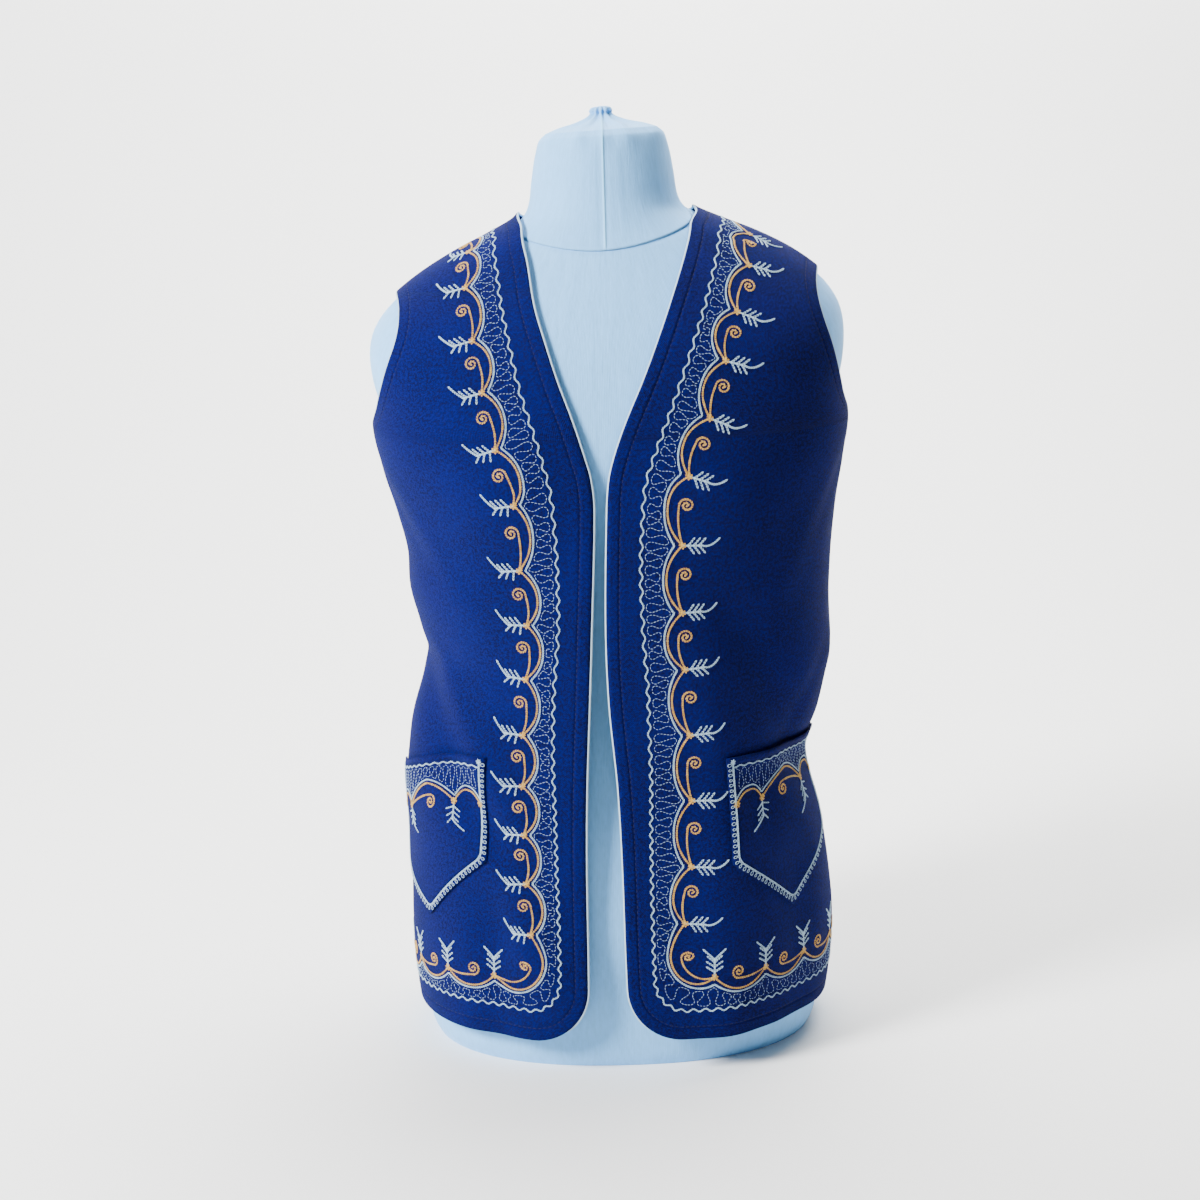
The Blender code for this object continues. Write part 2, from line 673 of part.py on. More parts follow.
make_torso()
make_neck()
back_halves = [back_half_rows(RIGHT), back_half_rows(LEFT)]
cloth_wall("vest_back", [[row[::-1] for row in half] for half in back_halves], CLOTH_THICKNESS, VEST_BLUE)
cloth_wall("vest_front_right", [front_rows(RIGHT)], CLOTH_THICKNESS, VEST_BLUE)
cloth_wall("vest_front_left", [front_rows(LEFT)], CLOTH_THICKNESS, VEST_BLUE)
cloth_wall("pocket_right", [pocket_rows(RIGHT)], POCKET_THICKNESS, VEST_BLUE)
cloth_wall("pocket_left", [pocket_rows(LEFT)], POCKET_THICKNESS, VEST_BLUE)
edge_cord("cord_front_right", front_cord_places(RIGHT))
edge_cord("cord_front_left", front_cord_places(LEFT))
edge_cord("cord_back_neck", back_neck_places())
edge_cord("cord_back_hem", back_hem_places())
edge_cord("cord_armhole_right", armhole_places(RIGHT), closed=True)
edge_cord("cord_armhole_left", armhole_places(LEFT), closed=True)
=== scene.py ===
import math
from collections import namedtuple

import bpy
import numpy as np
from mathutils import Matrix, Vector, kdtree


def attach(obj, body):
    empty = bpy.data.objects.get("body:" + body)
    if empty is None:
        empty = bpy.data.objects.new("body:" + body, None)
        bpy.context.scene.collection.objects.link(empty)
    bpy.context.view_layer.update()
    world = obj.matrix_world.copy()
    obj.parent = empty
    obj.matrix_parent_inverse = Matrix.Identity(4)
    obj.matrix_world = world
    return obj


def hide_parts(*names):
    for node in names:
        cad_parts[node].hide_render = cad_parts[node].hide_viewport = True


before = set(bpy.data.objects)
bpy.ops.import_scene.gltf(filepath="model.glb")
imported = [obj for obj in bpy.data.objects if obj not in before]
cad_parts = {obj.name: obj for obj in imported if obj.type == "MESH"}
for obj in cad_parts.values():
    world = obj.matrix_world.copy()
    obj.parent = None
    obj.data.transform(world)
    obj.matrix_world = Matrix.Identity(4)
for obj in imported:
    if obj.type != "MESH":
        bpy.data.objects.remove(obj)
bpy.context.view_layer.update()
print("frame loaded")

right = -1
left = 1
tags = {right: "Right", left: "Left"}

# Vest: the cut and how it hangs, in metres and degrees.
vest = {
    "hem": 0.0300,
    "cornerRadius": 0.042,
    "underarm": 0.488,
    "shoulderTip": 0.595,
    "backNeck": 0.632,
    "neckPoint": 0.645,
    "neckHalfWidth": 0.060,
    "thickness": 0.0020,
    "sideSeamTurn": 96.0,
    "armholeCutFront": {right: 23.0, left: 21.5},
    "armholeCutBack": 20.0,
    "armholeSquareness": 2.2,
    "neckPointTurn": 5.0,
    "leastEase": 0.0026,
    "easeBlend": 0.0020,
    "rightLift": 0.003,
    "rightDrop": 0.027,
    "rightNeckRise": 0.0040,
    "seamGap": 0.0003,
    "topstitch": 0.0095,
    "colour": (0.0012, 0.0028, 0.094),
    "shadeColour": (0.0003, 0.0008, 0.024),
    "columns": 72,
    "backColumns": 60,
    "cornerRows": 14,
    "bodyRows": 100,
    "edgeRows": 110,
    "armholeRows": 48,
    "slopeRows": 15,
    "neckRows": 12,
}

pocket = {
    "fromEdge": {right: 0.077, left: 0.082},
    "width": 0.121,
    "top": 0.247,
    "side": 0.081,
    "point": 0.046,
    "thickness": 0.0014,
    "gap": 0.00035,
    "mouthLift": 0.0026,
    "topstitchShift": 0.004,
    "columns": 40,
    "rows": 44,
}

form = {
    "neckSeamFront": 0.6205,
    "neckSeamBack": 0.6770,
    "neckSeamGap": 0.0003,
    "crown": 0.702,
    "neckTop": 0.707,
    "bust": 0.455,
    "bustTurn": 36.0,
    "bustRise": 0.006,
    "bustWidth": 17.0,
    "bustHeight": 0.045,
    "lean": 0.045,
    "leanFrom": 0.46,
    "leanTo": 0.62,
    "segments": 112,
    "colour": (0.190, 0.500, 0.90),
}

# The form's outline at each height: how far it reaches, and 2 for an ellipse or more for a squarer one.
Section = namedtuple("Section", "height halfWidth front back squareness")
formSections = [
    Section(0.000, 0.1530, 0.1090, 0.1010, 2.30),
    Section(0.012, 0.1570, 0.1130, 0.1050, 2.30),
    Section(0.060, 0.1600, 0.1160, 0.1120, 2.30),
    Section(0.105, 0.1612, 0.1180, 0.1160, 2.30),
    Section(0.180, 0.1520, 0.1120, 0.1080, 2.28),
    Section(0.240, 0.1370, 0.1030, 0.0950, 2.22),
    Section(0.290, 0.1285, 0.0980, 0.0880, 2.20),
    Section(0.340, 0.1330, 0.1020, 0.0920, 2.22),
    Section(0.400, 0.1480, 0.1120, 0.1020, 2.26),
    Section(0.450, 0.1580, 0.1180, 0.1100, 2.30),
    Section(0.490, 0.1680, 0.1165, 0.1120, 2.35),
    Section(0.520, 0.1780, 0.1090, 0.1100, 2.40),
    Section(0.545, 0.1815, 0.1000, 0.1050, 2.40),
    Section(0.565, 0.1790, 0.0910, 0.0980, 2.30),
    Section(0.580, 0.1710, 0.0835, 0.0930, 2.20),
    Section(0.595, 0.1560, 0.0755, 0.0870, 2.10),
    Section(0.610, 0.1350, 0.0675, 0.0810, 2.04),
    Section(0.624, 0.1090, 0.0605, 0.0760, 2.00),
    Section(0.636, 0.0815, 0.0550, 0.0710, 2.00),
    Section(0.646, 0.0620, 0.0515, 0.0670, 2.00),
    Section(0.656, 0.0565, 0.0480, 0.0635, 2.00),
    Section(0.672, 0.0540, 0.0455, 0.0600, 2.00),
    Section(0.692, 0.0505, 0.0430, 0.0570, 2.00),
    Section(0.702, 0.0475, 0.0405, 0.0540, 2.00),
    Section(0.707, 0.0420, 0.0355, 0.0480, 2.00),
]

# How far the vest stands off the form at each height.
Ease = namedtuple("Ease", "height right left front back")
vestEase = [
    Ease(0.024, 0.0040, 0.0045, 0.0170, 0.0120),
    Ease(0.060, 0.0055, 0.0075, 0.0150, 0.0085),
    Ease(0.100, 0.0045, 0.0070, 0.0110, 0.0050),
    Ease(0.140, 0.0070, 0.0065, 0.0105, 0.0060),
    Ease(0.180, 0.0125, 0.0060, 0.0130, 0.0090),
    Ease(0.214, 0.0220, 0.0045, 0.0160, 0.0130),
    Ease(0.232, 0.0250, 0.0080, 0.0180, 0.0150),
    Ease(0.264, 0.0265, 0.0270, 0.0220, 0.0180),
    Ease(0.298, 0.0200, 0.0385, 0.0245, 0.0190),
    Ease(0.315, 0.0160, 0.0390, 0.0240, 0.0180),
    Ease(0.335, 0.0175, 0.0355, 0.0225, 0.0160),
    Ease(0.364, 0.0180, 0.0290, 0.0190, 0.0120),
    Ease(0.395, 0.0105, 0.0225, 0.0145, 0.0080),
    Ease(0.425, 0.0110, 0.0195, 0.0095, 0.0045),
    Ease(0.457, 0.0140, 0.0185, 0.0050, 0.0025),
    Ease(0.488, 0.0120, 0.0150, 0.0030, 0.0018),
    Ease(0.510, 0.0050, 0.0060, 0.0024, 0.0020),
    Ease(0.535, 0.0024, 0.0024, 0.0020, 0.0020),
    Ease(0.565, 0.0026, 0.0026, 0.0022, 0.0022),
    Ease(0.595, 0.0032, 0.0032, 0.0028, 0.0028),
    Ease(0.622, 0.0040, 0.0040, 0.0032, 0.0034),
    Ease(0.640, 0.0048, 0.0048, 0.0036, 0.0040),
    Ease(0.660, 0.0044, 0.0044, 0.0036, 0.0040),
]

# The opening between the two fronts, and how far it lies to one side.
Edge = namedtuple("Edge", "height halfGap shift")
frontEdges = [
    Edge(0.024, 0.0160, -0.0120),
    Edge(0.100, 0.0146, -0.0124),
    Edge(0.170, 0.0138, -0.0124),
    Edge(0.230, 0.0118, -0.0124),
    Edge(0.290, 0.0078, -0.0130),
    Edge(0.350, 0.0056, -0.0120),
    Edge(0.440, 0.0050, -0.0084),
    Edge(0.462, 0.0070, -0.0082),
    Edge(0.476, 0.0106, -0.0082),
    Edge(0.490, 0.0151, -0.0078),
    Edge(0.504, 0.0202, -0.0071),
    Edge(0.531, 0.0312, -0.0056),
    Edge(0.558, 0.0410, -0.0040),
    Edge(0.586, 0.0506, -0.0024),
    Edge(0.613, 0.0587, -0.0006),
    Edge(0.632, 0.0640, -0.0006),
    Edge(0.645, 0.0640, -0.0006),
]

# Folds: where each starts and ends, which way it leans, how far it stands out and how wide it is.
Fold = namedtuple("Fold", "top foot topTurn footTurn depth width")
folds = [
    Fold(0.335, 0.150, -84.0, -30.0, -0.0055, 9.0),
    Fold(0.300, 0.050, -50.0, -22.0, 0.0040, 8.0),
    Fold(0.170, 0.020, -44.0, -41.0, -0.0040, 7.0),
    Fold(0.400, 0.200, 30.0, 74.0, -0.0060, 9.0),
    Fold(0.380, 0.090, 22.0, 45.0, 0.0045, 9.0),
    Fold(0.240, 0.020, 30.0, 33.0, 0.0050, 8.0),
    Fold(0.200, 0.020, 60.0, 58.0, -0.0035, 8.0),
    Fold(0.380, 0.040, 118.0, 124.0, -0.0050, 9.0),
    Fold(0.300, 0.020, 142.0, 147.0, 0.0050, 9.0),
    Fold(0.360, 0.090, 171.0, 168.0, -0.0050, 10.0),
    Fold(0.360, 0.060, -164.0, -167.0, 0.0040, 10.0),
    Fold(0.330, 0.020, -139.0, -144.0, -0.0050, 9.0),
    Fold(0.300, 0.020, -116.0, -120.0, 0.0045, 9.0),
]

# Finer creases, which only the cloth seen here has.
creases = [
    Fold(0.480, 0.400, -86.0, -66.0, -0.0012, 4.0),
    Fold(0.470, 0.360, -74.0, -48.0, 0.0010, 5.0),
    Fold(0.345, 0.250, -70.0, -46.0, 0.0013, 4.5),
    Fold(0.480, 0.410, 84.0, 66.0, -0.0013, 4.0),
    Fold(0.460, 0.350, 70.0, 50.0, 0.0010, 5.0),
    Fold(0.330, 0.245, 76.0, 60.0, -0.0014, 4.0),
    Fold(0.300, 0.246, 52.0, 64.0, 0.0012, 4.0),
    Fold(0.500, 0.400, 150.0, 138.0, -0.0012, 5.0),
    Fold(0.520, 0.420, -150.0, -140.0, -0.0012, 5.0),
    Fold(0.360, 0.230, 154.0, 160.0, 0.0012, 4.0),
    Fold(0.340, 0.220, -128.0, -134.0, 0.0013, 4.0),
    Fold(0.330, 0.230, 108.0, 114.0, 0.0012, 4.0),
]


# A smooth line through one column of a table, level beyond its ends.
def alongTable(rows, column, heights):
    xs = np.array([row.height for row in rows])
    ys = np.array([getattr(row, column) for row in rows])
    slopes = np.empty(len(xs))
    slopes[1:-1] = (ys[2:] - ys[:-2]) / (xs[2:] - xs[:-2])
    slopes[0] = (ys[1] - ys[0]) / (xs[1] - xs[0])
    slopes[-1] = (ys[-1] - ys[-2]) / (xs[-1] - xs[-2])
    h = np.clip(heights, xs[0], xs[-1])
    i = np.clip(np.searchsorted(xs, h, side="right") - 1, 0, len(xs) - 2)
    span = xs[i + 1] - xs[i]
    t = (h - xs[i]) / span
    ends = (1 + 2 * t) * (1 - t) ** 2 * ys[i] + t * t * (3 - 2 * t) * ys[i + 1]
    bend = t * (1 - t) ** 2 * slopes[i] - t * t * (1 - t) * slopes[i + 1]
    return ends + bend * span


def smoothStep(low, high, value):
    t = np.clip((value - low) / (high - low), 0.0, 1.0)
    return t * t * (3 - 2 * t)


def bell(distance, width):
    return np.exp(-((distance / width) ** 2))


def leanOver(points):
    leaned = points.copy()
    share = smoothStep(form["leanFrom"], form["leanTo"], points[..., 2])
    leaned[..., 2] += form["lean"] * share * points[..., 0]
    return leaned


def ringRadius(turns, halfWidth, front, back, squareness):
    angle = np.radians(turns)
    depth = np.where(np.cos(angle) > 0, front, back)
    across = np.abs(np.sin(angle) / halfWidth) ** squareness
    along = np.abs(np.cos(angle) / depth) ** squareness
    return (across + along) ** (-1 / squareness)


def bustRise(turns, heights):
    aside = bell(np.abs(turns) - form["bustTurn"], form["bustWidth"])
    return form["bustRise"] * aside * bell(heights - form["bust"], form["bustHeight"])


def foldRise(turns, heights):
    total = np.zeros(np.broadcast(turns, heights).shape)
    for fold in folds + creases:
        share = np.clip((fold.top - heights) / (fold.top - fold.foot), 0.0, 1.0)
        middle = fold.topTurn + share * (fold.footTurn - fold.topTurn)
        away = (turns - middle + 180) % 360 - 180
        fade = smoothStep(0.0, 0.35, share)
        if fold.foot > vest["hem"]:
            fade = fade * smoothStep(fold.foot - 0.03, fold.foot + 0.05, heights)
        total = total + fold.depth * bell(away, fold.width) * fade
    return total


def polar(turns, heights, radii):
    angle = np.radians(turns)
    z = np.broadcast_to(heights, radii.shape)
    return np.stack([radii * np.sin(angle), -radii * np.cos(angle), z], axis=-1)


def formSizes(heights):
    return [alongTable(formSections, column, heights) for column in Section._fields[1:]]


def formPoints(turns, heights, extra=0.0):
    radii = ringRadius(turns, *formSizes(heights)) + bustRise(turns, heights) + extra
    return leanOver(polar(turns, heights, radii))


def vestSizes(turns, heights):
    halfWidth, front, back, squareness = formSizes(heights)
    easeRight = alongTable(vestEase, "right", heights)
    easeLeft = alongTable(vestEase, "left", heights)
    return (
        halfWidth + np.where(turns < 0, easeRight, easeLeft),
        front + alongTable(vestEase, "front", heights),
        back + alongTable(vestEase, "back", heights),
        squareness,
    )


# On the wearer's right the cloth has slipped down at the side and rides up at the neck.
def hung(turns, heights):
    before = smoothStep(8, 40, -turns) * (1 - smoothStep(120, 170, -turns))
    aside = smoothStep(48, 92, -turns) * (1 - smoothStep(100, 160, -turns))
    level = smoothStep(vest["hem"], 0.130, heights) * (1 - smoothStep(0.260, 0.400, heights))
    rise = vest["rightNeckRise"] * before * smoothStep(0.575, 0.615, heights)
    return heights + (vest["rightLift"] * before - vest["rightDrop"] * aside) * level + rise


def innerFace(turns, heights):
    turns = np.asarray(turns, float)
    heights = hung(turns, np.asarray(heights, float))
    draped = ringRadius(turns, *vestSizes(turns, heights)) + foldRise(turns, heights)
    under = ringRadius(turns, *formSizes(heights))
    spare = draped - under - vest["leastEase"]
    spare = (spare + np.sqrt(spare**2 + vest["easeBlend"] ** 2)) / 2
    radii = under + bustRise(turns, heights) + vest["leastEase"] + spare
    return leanOver(polar(turns, heights, radii))


def slopesAt(turns, heights):
    across = (innerFace(turns + 0.1, heights) - innerFace(turns - 0.1, heights)) / 0.2
    up = (innerFace(turns, heights + 0.0004) - innerFace(turns, heights - 0.0004)) / 0.0008
    return across, up


def unit(vectors):
    return vectors / np.maximum(np.linalg.norm(vectors, axis=-1, keepdims=True), 1e-12)


def distancesAlong(points):
    return np.concatenate([[0.0], np.cumsum(np.linalg.norm(np.diff(points, axis=0), axis=1))])


def columnsAt(place, places, values):
    return np.stack([np.interp(place, places, values[:, k]) for k in range(values.shape[1])], axis=-1)


# A running mean, which takes the corners off a line.
def smoothed(points, count):
    padded = np.pad(points, ((count // 2, count // 2), (0, 0)), mode="edge")
    kernel = np.ones(count) / count
    return np.stack([np.convolve(column, kernel, "valid") for column in padded.T], axis=-1)


def awayFrom(turns, heights):
    across, up = slopesAt(turns, heights)
    return unit(np.cross(across, up))


def onCloth(turns, heights, lift):
    turns = np.asarray(turns, float)
    heights = np.asarray(heights, float)
    away = awayFrom(turns, heights)
    lift = np.broadcast_to(lift, turns.shape)
    return innerFace(turns, heights) + away * lift[..., None], away


def turnAt(side, height, x, atBack=False):
    sideTurn = np.array(side * 1.0)
    halfWidth, front, back, squareness = (float(v) for v in vestSizes(sideTurn, np.array(height)))
    depth = back if atBack else front
    share = min(1.0, abs(x) / halfWidth)
    y = depth * (1 - share**squareness) ** (1 / squareness)
    turn = math.degrees(math.atan2(x, y))
    return 180 - turn if atBack else turn


def seamTurn(height, outwardSide):
    start = vest["sideSeamTurn"]
    middle = start + (90 - start) * float(smoothStep(vest["underarm"], vest["shoulderTip"], height))
    gap = math.degrees(vest["seamGap"] / 2 / float(alongTable(formSections, "halfWidth", height)))
    return middle + outwardSide * gap


armholeMiddle = (vest["underarm"] + vest["shoulderTip"]) / 2
armholeHalf = (vest["shoulderTip"] - vest["underarm"]) / 2


def armholeShare(height):
    away = min(1.0, abs(height - armholeMiddle) / armholeHalf)
    squareness = vest["armholeSquareness"]
    return (1 - away**squareness) ** (1 / squareness)


def frontEdge(side, height, rounded=True):
    halfGap = float(alongTable(frontEdges, "halfGap", height))
    shift = float(alongTable(frontEdges, "shift", height))
    x = halfGap + side * shift
    up = height - vest["hem"]
    radius = vest["cornerRadius"]
    if rounded and up < radius:
        x += radius - math.sqrt(max(0.0, radius**2 - (radius - up) ** 2))
    return x


def frontLimits(side, height, rounded=True):
    outer = seamTurn(height, -1)
    if vest["underarm"] < height < vest["shoulderTip"]:
        outer -= vest["armholeCutFront"][side] * armholeShare(height)
    inner = turnAt(side, height, frontEdge(side, height, rounded))
    if height > vest["backNeck"]:
        topShare = (height - vest["backNeck"]) / (vest["neckPoint"] - vest["backNeck"])
        inner += (90 - vest["neckPointTurn"] - inner) * topShare**3
    return inner, outer


def backLimits(side, height):
    outer = seamTurn(height, 1)
    if vest["underarm"] < height < vest["shoulderTip"]:
        outer += vest["armholeCutBack"] * armholeShare(height)
    inner = 180.0
    if height > vest["backNeck"]:
        down = (vest["neckPoint"] - height) / (vest["neckPoint"] - vest["backNeck"])
        x = vest["neckHalfWidth"] * math.sqrt(max(0.0, 1 - down**2))
        inner = turnAt(side, height, x, atBack=True)
        inner += (90 + vest["neckPointTurn"] - inner) * (1 - down) ** 3
    return inner, outer


def evenTurns(side, height, limits, columns):
    start, end = limits
    turns = np.linspace(start, end, 121)
    along = distancesAlong(innerFace(side * turns, np.full(turns.shape, height)))
    return np.interp(np.linspace(0, along[-1], columns + 1), along, turns)


def rowHeights(bodyRows):
    cornerTop = vest["hem"] + vest["cornerRadius"]
    turned = np.linspace(0, math.pi / 2, vest["cornerRows"] + 1)[:-1]
    corner = vest["hem"] + vest["cornerRadius"] * (1 - np.cos(turned))
    body = np.linspace(cornerTop, vest["underarm"], bodyRows + 1)[:-1]
    armhole = armholeMiddle - armholeHalf * np.cos(np.linspace(0, math.pi, vest["armholeRows"] + 1)[:-1])
    slope = np.linspace(vest["shoulderTip"], vest["backNeck"], vest["slopeRows"] + 1)[:-1]
    rise = 1 - np.cos(np.linspace(0, math.pi / 2, vest["neckRows"] + 1))
    neck = vest["backNeck"] + (vest["neckPoint"] - vest["backNeck"]) * rise
    return np.concatenate([corner, body, armhole, slope, neck])


def isArmhole(heights):
    return (heights > vest["underarm"] + 1e-6) & (heights < vest["shoulderTip"] - 1e-6)


# The turns at which a panel starts (0) or ends (1), one for each height.
def limitTurns(limits, side, heights, which):
    return np.array([side * limits(side, float(h))[which] for h in heights])


# Nodes: numbers are written as expressions, and every other node comes from one method.
class Number:
    def __init__(self, nodes, socket):
        self.nodes = nodes
        self.socket = socket

    def math(self, operation, *others):
        node = self.nodes.tree.nodes.new("ShaderNodeMath")
        node.operation = operation
        for place, value in enumerate((self, *others)):
            self.nodes.join(value, node.inputs[place])
        return Number(self.nodes, node.outputs[0])

    def __add__(self, other):
        return self.math("ADD", other)

    def __sub__(self, other):
        return self.math("SUBTRACT", other)

    def __rsub__(self, other):
        return (self * -1.0).math("ADD", other)

    def __mul__(self, other):
        return self.math("MULTIPLY", other)

    def __truediv__(self, other):
        return self.math("DIVIDE", other)

    def __rtruediv__(self, other):
        return self.math("POWER", -1.0) * other

    __radd__ = __add__
    __rmul__ = __mul__

    def sine(self):
        return self.math("SINE")

    def size(self):
        return self.math("ABSOLUTE")

    def smooth(self, low, high):
        return self.nodes.make(
            "ShaderNodeMapRange",
            {"interpolation_type": "SMOOTHSTEP"},
            {"Value": self, "From Min": low, "From Max": high},
        ).number("Result")

    def bump(self, width):
        scaled = self / width
        return (scaled * scaled * -1.0).math("EXPONENT")


class Made:
    def __init__(self, nodes, node):
        self.nodes = nodes
        self.node = node

    def number(self, name=0):
        return Number(self.nodes, self.node.outputs[name])

    def out(self, name=0):
        return self.node.outputs[name]


class Nodes:
    def __init__(self, tree):
        self.tree = tree

    def join(self, value, socket):
        if isinstance(value, Number):
            value = value.socket
        if isinstance(value, Made):
            value = value.out()
        if isinstance(value, bpy.types.NodeSocket):
            self.tree.links.new(value, socket)
        else:
            socket.default_value = value

    def make(self, kind, settings=None, sockets=None):
        node = self.tree.nodes.new(kind)
        for name, value in (settings or {}).items():
            setattr(node, name, value)
        for name, value in (sockets or {}).items():
            self.join(value, node.inputs[name])
        return Made(self, node)

    def noise(self, vector, scale, detail=2.0, roughness=0.5):
        sockets = {"Vector": vector, "Scale": scale, "Detail": detail, "Roughness": roughness}
        return self.make("ShaderNodeTexNoise", {}, sockets).number("Fac")

    def stretched(self, vector, scale):
        return self.make("ShaderNodeVectorMath", {"operation": "MULTIPLY"}, {0: vector, 1: scale}).out()

    def mixColour(self, factor, first, second):
        return self.make("ShaderNodeMix", {"data_type": "RGBA"}, {0: factor, 6: first, 7: second}).out(2)

    def objectPlace(self):
        return self.make("ShaderNodeTexCoord").out("Object")

    def clothPlace(self):
        return self.make("ShaderNodeUVMap", {"uv_map": "cloth"}).out()

    def split(self, vector):
        parts = self.make("ShaderNodeSeparateXYZ", {}, {"Vector": vector})
        return parts.number("X"), parts.number("Y"), parts.number("Z")


def newMaterial(name):
    material = bpy.data.materials.new(name)
    material.use_nodes = True
    nodes = Nodes(material.node_tree)
    shader = material.node_tree.nodes["Principled BSDF"]
    return material, nodes, shader


# The colour that a socket takes, made darker or lighter.
def tint(colour, factor=1.0):
    return (*[min(1.0, part * factor) for part in colour], 1.0)


def setLook(nodes, shader, colour, roughness, height, strength, distance):
    raised = {"Height": height, "Strength": strength, "Distance": distance}
    nodes.join(nodes.make("ShaderNodeBump", {}, raised).out("Normal"), shader.inputs["Normal"])
    nodes.join(colour, shader.inputs["Base Color"])
    nodes.join(roughness, shader.inputs["Roughness"])


# Wool: a fine twill under a short nap, with the turned edge and its row of stitches.
def clothMaterial(name, colour, shadeColour):
    material, nodes, shader = newMaterial(name)
    place = nodes.clothPlace()
    across, up, _ = nodes.split(place)
    edge = nodes.make("ShaderNodeAttribute", {"attribute_name": "edgeDistance"}).number("Fac")
    fromStitches = edge - vest["topstitch"]
    twill = ((across + up * 0.9) * (2 * math.pi / 0.0013)).sine()
    filling = ((across * 0.35 - up) * (2 * math.pi / 0.0010)).sine()
    nap = nodes.noise(place, 820.0, 3.0, 0.65)
    tufts = nodes.noise(place, 430.0, 2.0, 0.6)
    clouds = nodes.noise(place, 22.0)
    topstitch = fromStitches.bump(0.0011)
    fold = 1.0 - fromStitches.smooth(-0.0010, 0.0020)
    pucker = nodes.noise(place, 190.0, 1.0, 0.4) * fromStitches.bump(0.005)
    height = twill * 0.16 + filling * 0.08 + nap * 0.55 + tufts * 0.35
    height = height - topstitch * 1.5 + fold * 0.6 + pucker * 0.5
    grain = (twill * 0.05 + nap * 1.1 + tufts * 0.9).smooth(0.86, 1.16)
    base = nodes.mixColour(grain, tint(shadeColour), tint(colour))
    worn = nodes.mixColour(clouds.smooth(0.35, 0.75) * 0.18, base, tint(colour, 1.3))
    # Painted shade: the cloth is painted darker along the sunk line of its topstitching.
    stitchLineShade = nodes.mixColour(topstitch * 0.4, worn, tint(colour, 0.35))
    setLook(nodes, shader, stitchLineShade, 0.78 + nap * 0.2, height, 0.8, 0.0008)
    shader.inputs["Sheen Weight"].default_value = 0.05
    shader.inputs["Sheen Roughness"].default_value = 0.45
    shader.inputs["Sheen Tint"].default_value = (0.10, 0.25, 0.95, 1.0)
    shader.inputs["Specular IOR Level"].default_value = 0.08
    return material


def threadMaterial(name, colour, second, shine, sheen=0.2):
    material, nodes, shader = newMaterial(name)
    place = nodes.objectPlace()
    strand = nodes.noise(place, 1500.0, 2.0, 0.6)
    patch = nodes.noise(place, 420.0)
    mixed = nodes.mixColour(patch.smooth(0.38, 0.66), tint(colour), tint(second))
    shaded = nodes.mixColour(strand.smooth(0.25, 0.6) * 0.4, tint(colour, 0.75), mixed)
    setLook(nodes, shader, shaded, shine + strand * 0.2, strand, 0.5, 0.0003)
    shader.inputs["Sheen Weight"].default_value = sheen
    return material


def edgeMaterial(name, colour):
    material, nodes, shader = newMaterial(name)
    place = nodes.objectPlace()
    weave = nodes.noise(place, 1100.0, 2.0, 0.6)
    soil = nodes.noise(place, 90.0)
    base = nodes.mixColour(soil.smooth(0.3, 0.75) * 0.5, tint(colour), tint(colour, 0.82))
    setLook(nodes, shader, base, 0.75 + weave * 0.2, weave, 0.5, 0.0003)
    return material


# The form's cover: fine wales with a crinkle, and one seam up the front of the neck.
def coverMaterial(name, colour):
    material, nodes, shader = newMaterial(name)
    x, y, z = nodes.split(nodes.objectPlace())
    uv = nodes.clothPlace()
    around = nodes.split(uv)[0]
    wale = (around * (2 * math.pi / 0.0016)).sine()
    crinkle = nodes.noise(nodes.stretched(uv, (330.0, 120.0, 1.0)), 1.0, 3.0, 0.55)
    ripple = nodes.noise(nodes.stretched(uv, (70.0, 22.0, 1.0)), 1.0)
    isFront = 1.0 - y.smooth(-0.002, 0.002)
    aboveSeam = (z - form["neckSeamFront"]).smooth(0.0, 0.004)
    seam = (x - 0.0005).bump(0.0009) * isFront * aboveSeam
    seamEdge = (x.size() - 0.003).bump(0.0022) * isFront * aboveSeam
    height = wale * 0.05 + crinkle * 0.45 + ripple * 1.1 + seam * 1.8 - seamEdge * 0.5
    tone = nodes.mixColour(crinkle.smooth(0.3, 0.7), tint(colour, 0.9), tint(colour))
    soft = nodes.mixColour(ripple.smooth(0.4, 0.8) * 0.35, tone, tint(colour, 1.12))
    # Painted highlight: the raised seam up the front of the neck is painted lighter than the cover.
    seamHighlight = nodes.mixColour(seam * 0.5, soft, tint(colour, 1.4))
    setLook(nodes, shader, seamHighlight, 0.7 + crinkle * 0.2, height, 0.6, 0.0007)
    shader.inputs["Sheen Weight"].default_value = 0.15
    return material


def floorMaterial(name):
    material, nodes, shader = newMaterial(name)
    tone = nodes.noise(nodes.objectPlace(), 3.0)
    base = nodes.mixColour(tone, tint((0.90, 0.90, 0.89)), tint((0.93, 0.93, 0.92)))
    nodes.join(base, shader.inputs["Base Color"])
    nodes.join(0.66 + tone * 0.08, shader.inputs["Roughness"])
    return material


looks = {
    "vestCloth": clothMaterial("vestCloth", vest["colour"], vest["shadeColour"]),
    "formCover": coverMaterial("formCover", form["colour"]),
    "whiteThread": threadMaterial("whiteThread", (0.40, 0.60, 0.78), (0.62, 0.76, 0.86), 0.5),
    "fineThread": threadMaterial("fineThread", (0.32, 0.48, 0.72), (0.52, 0.66, 0.82), 0.5),
    "goldThread": threadMaterial("goldThread", (0.66, 0.34, 0.014), (0.92, 0.71, 0.22), 0.42),
    "blueThread": threadMaterial("blueThread", (0.0006, 0.0016, 0.045), (0.0010, 0.0026, 0.080), 0.8, 0.0),
    "whiteEdge": edgeMaterial("whiteEdge", (0.40, 0.54, 0.66)),
}
print("materials made")

collection = bpy.data.collections.new("visual")
bpy.context.scene.collection.children.link(collection)


def addMesh(name, mesh, material, replaces=()):
    mesh.materials.clear()
    mesh.materials.append(material)
    made = bpy.data.objects.new(name, mesh)
    collection.objects.link(made)
    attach(made, "root")
    if replaces:
        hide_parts(*replaces)
    return made


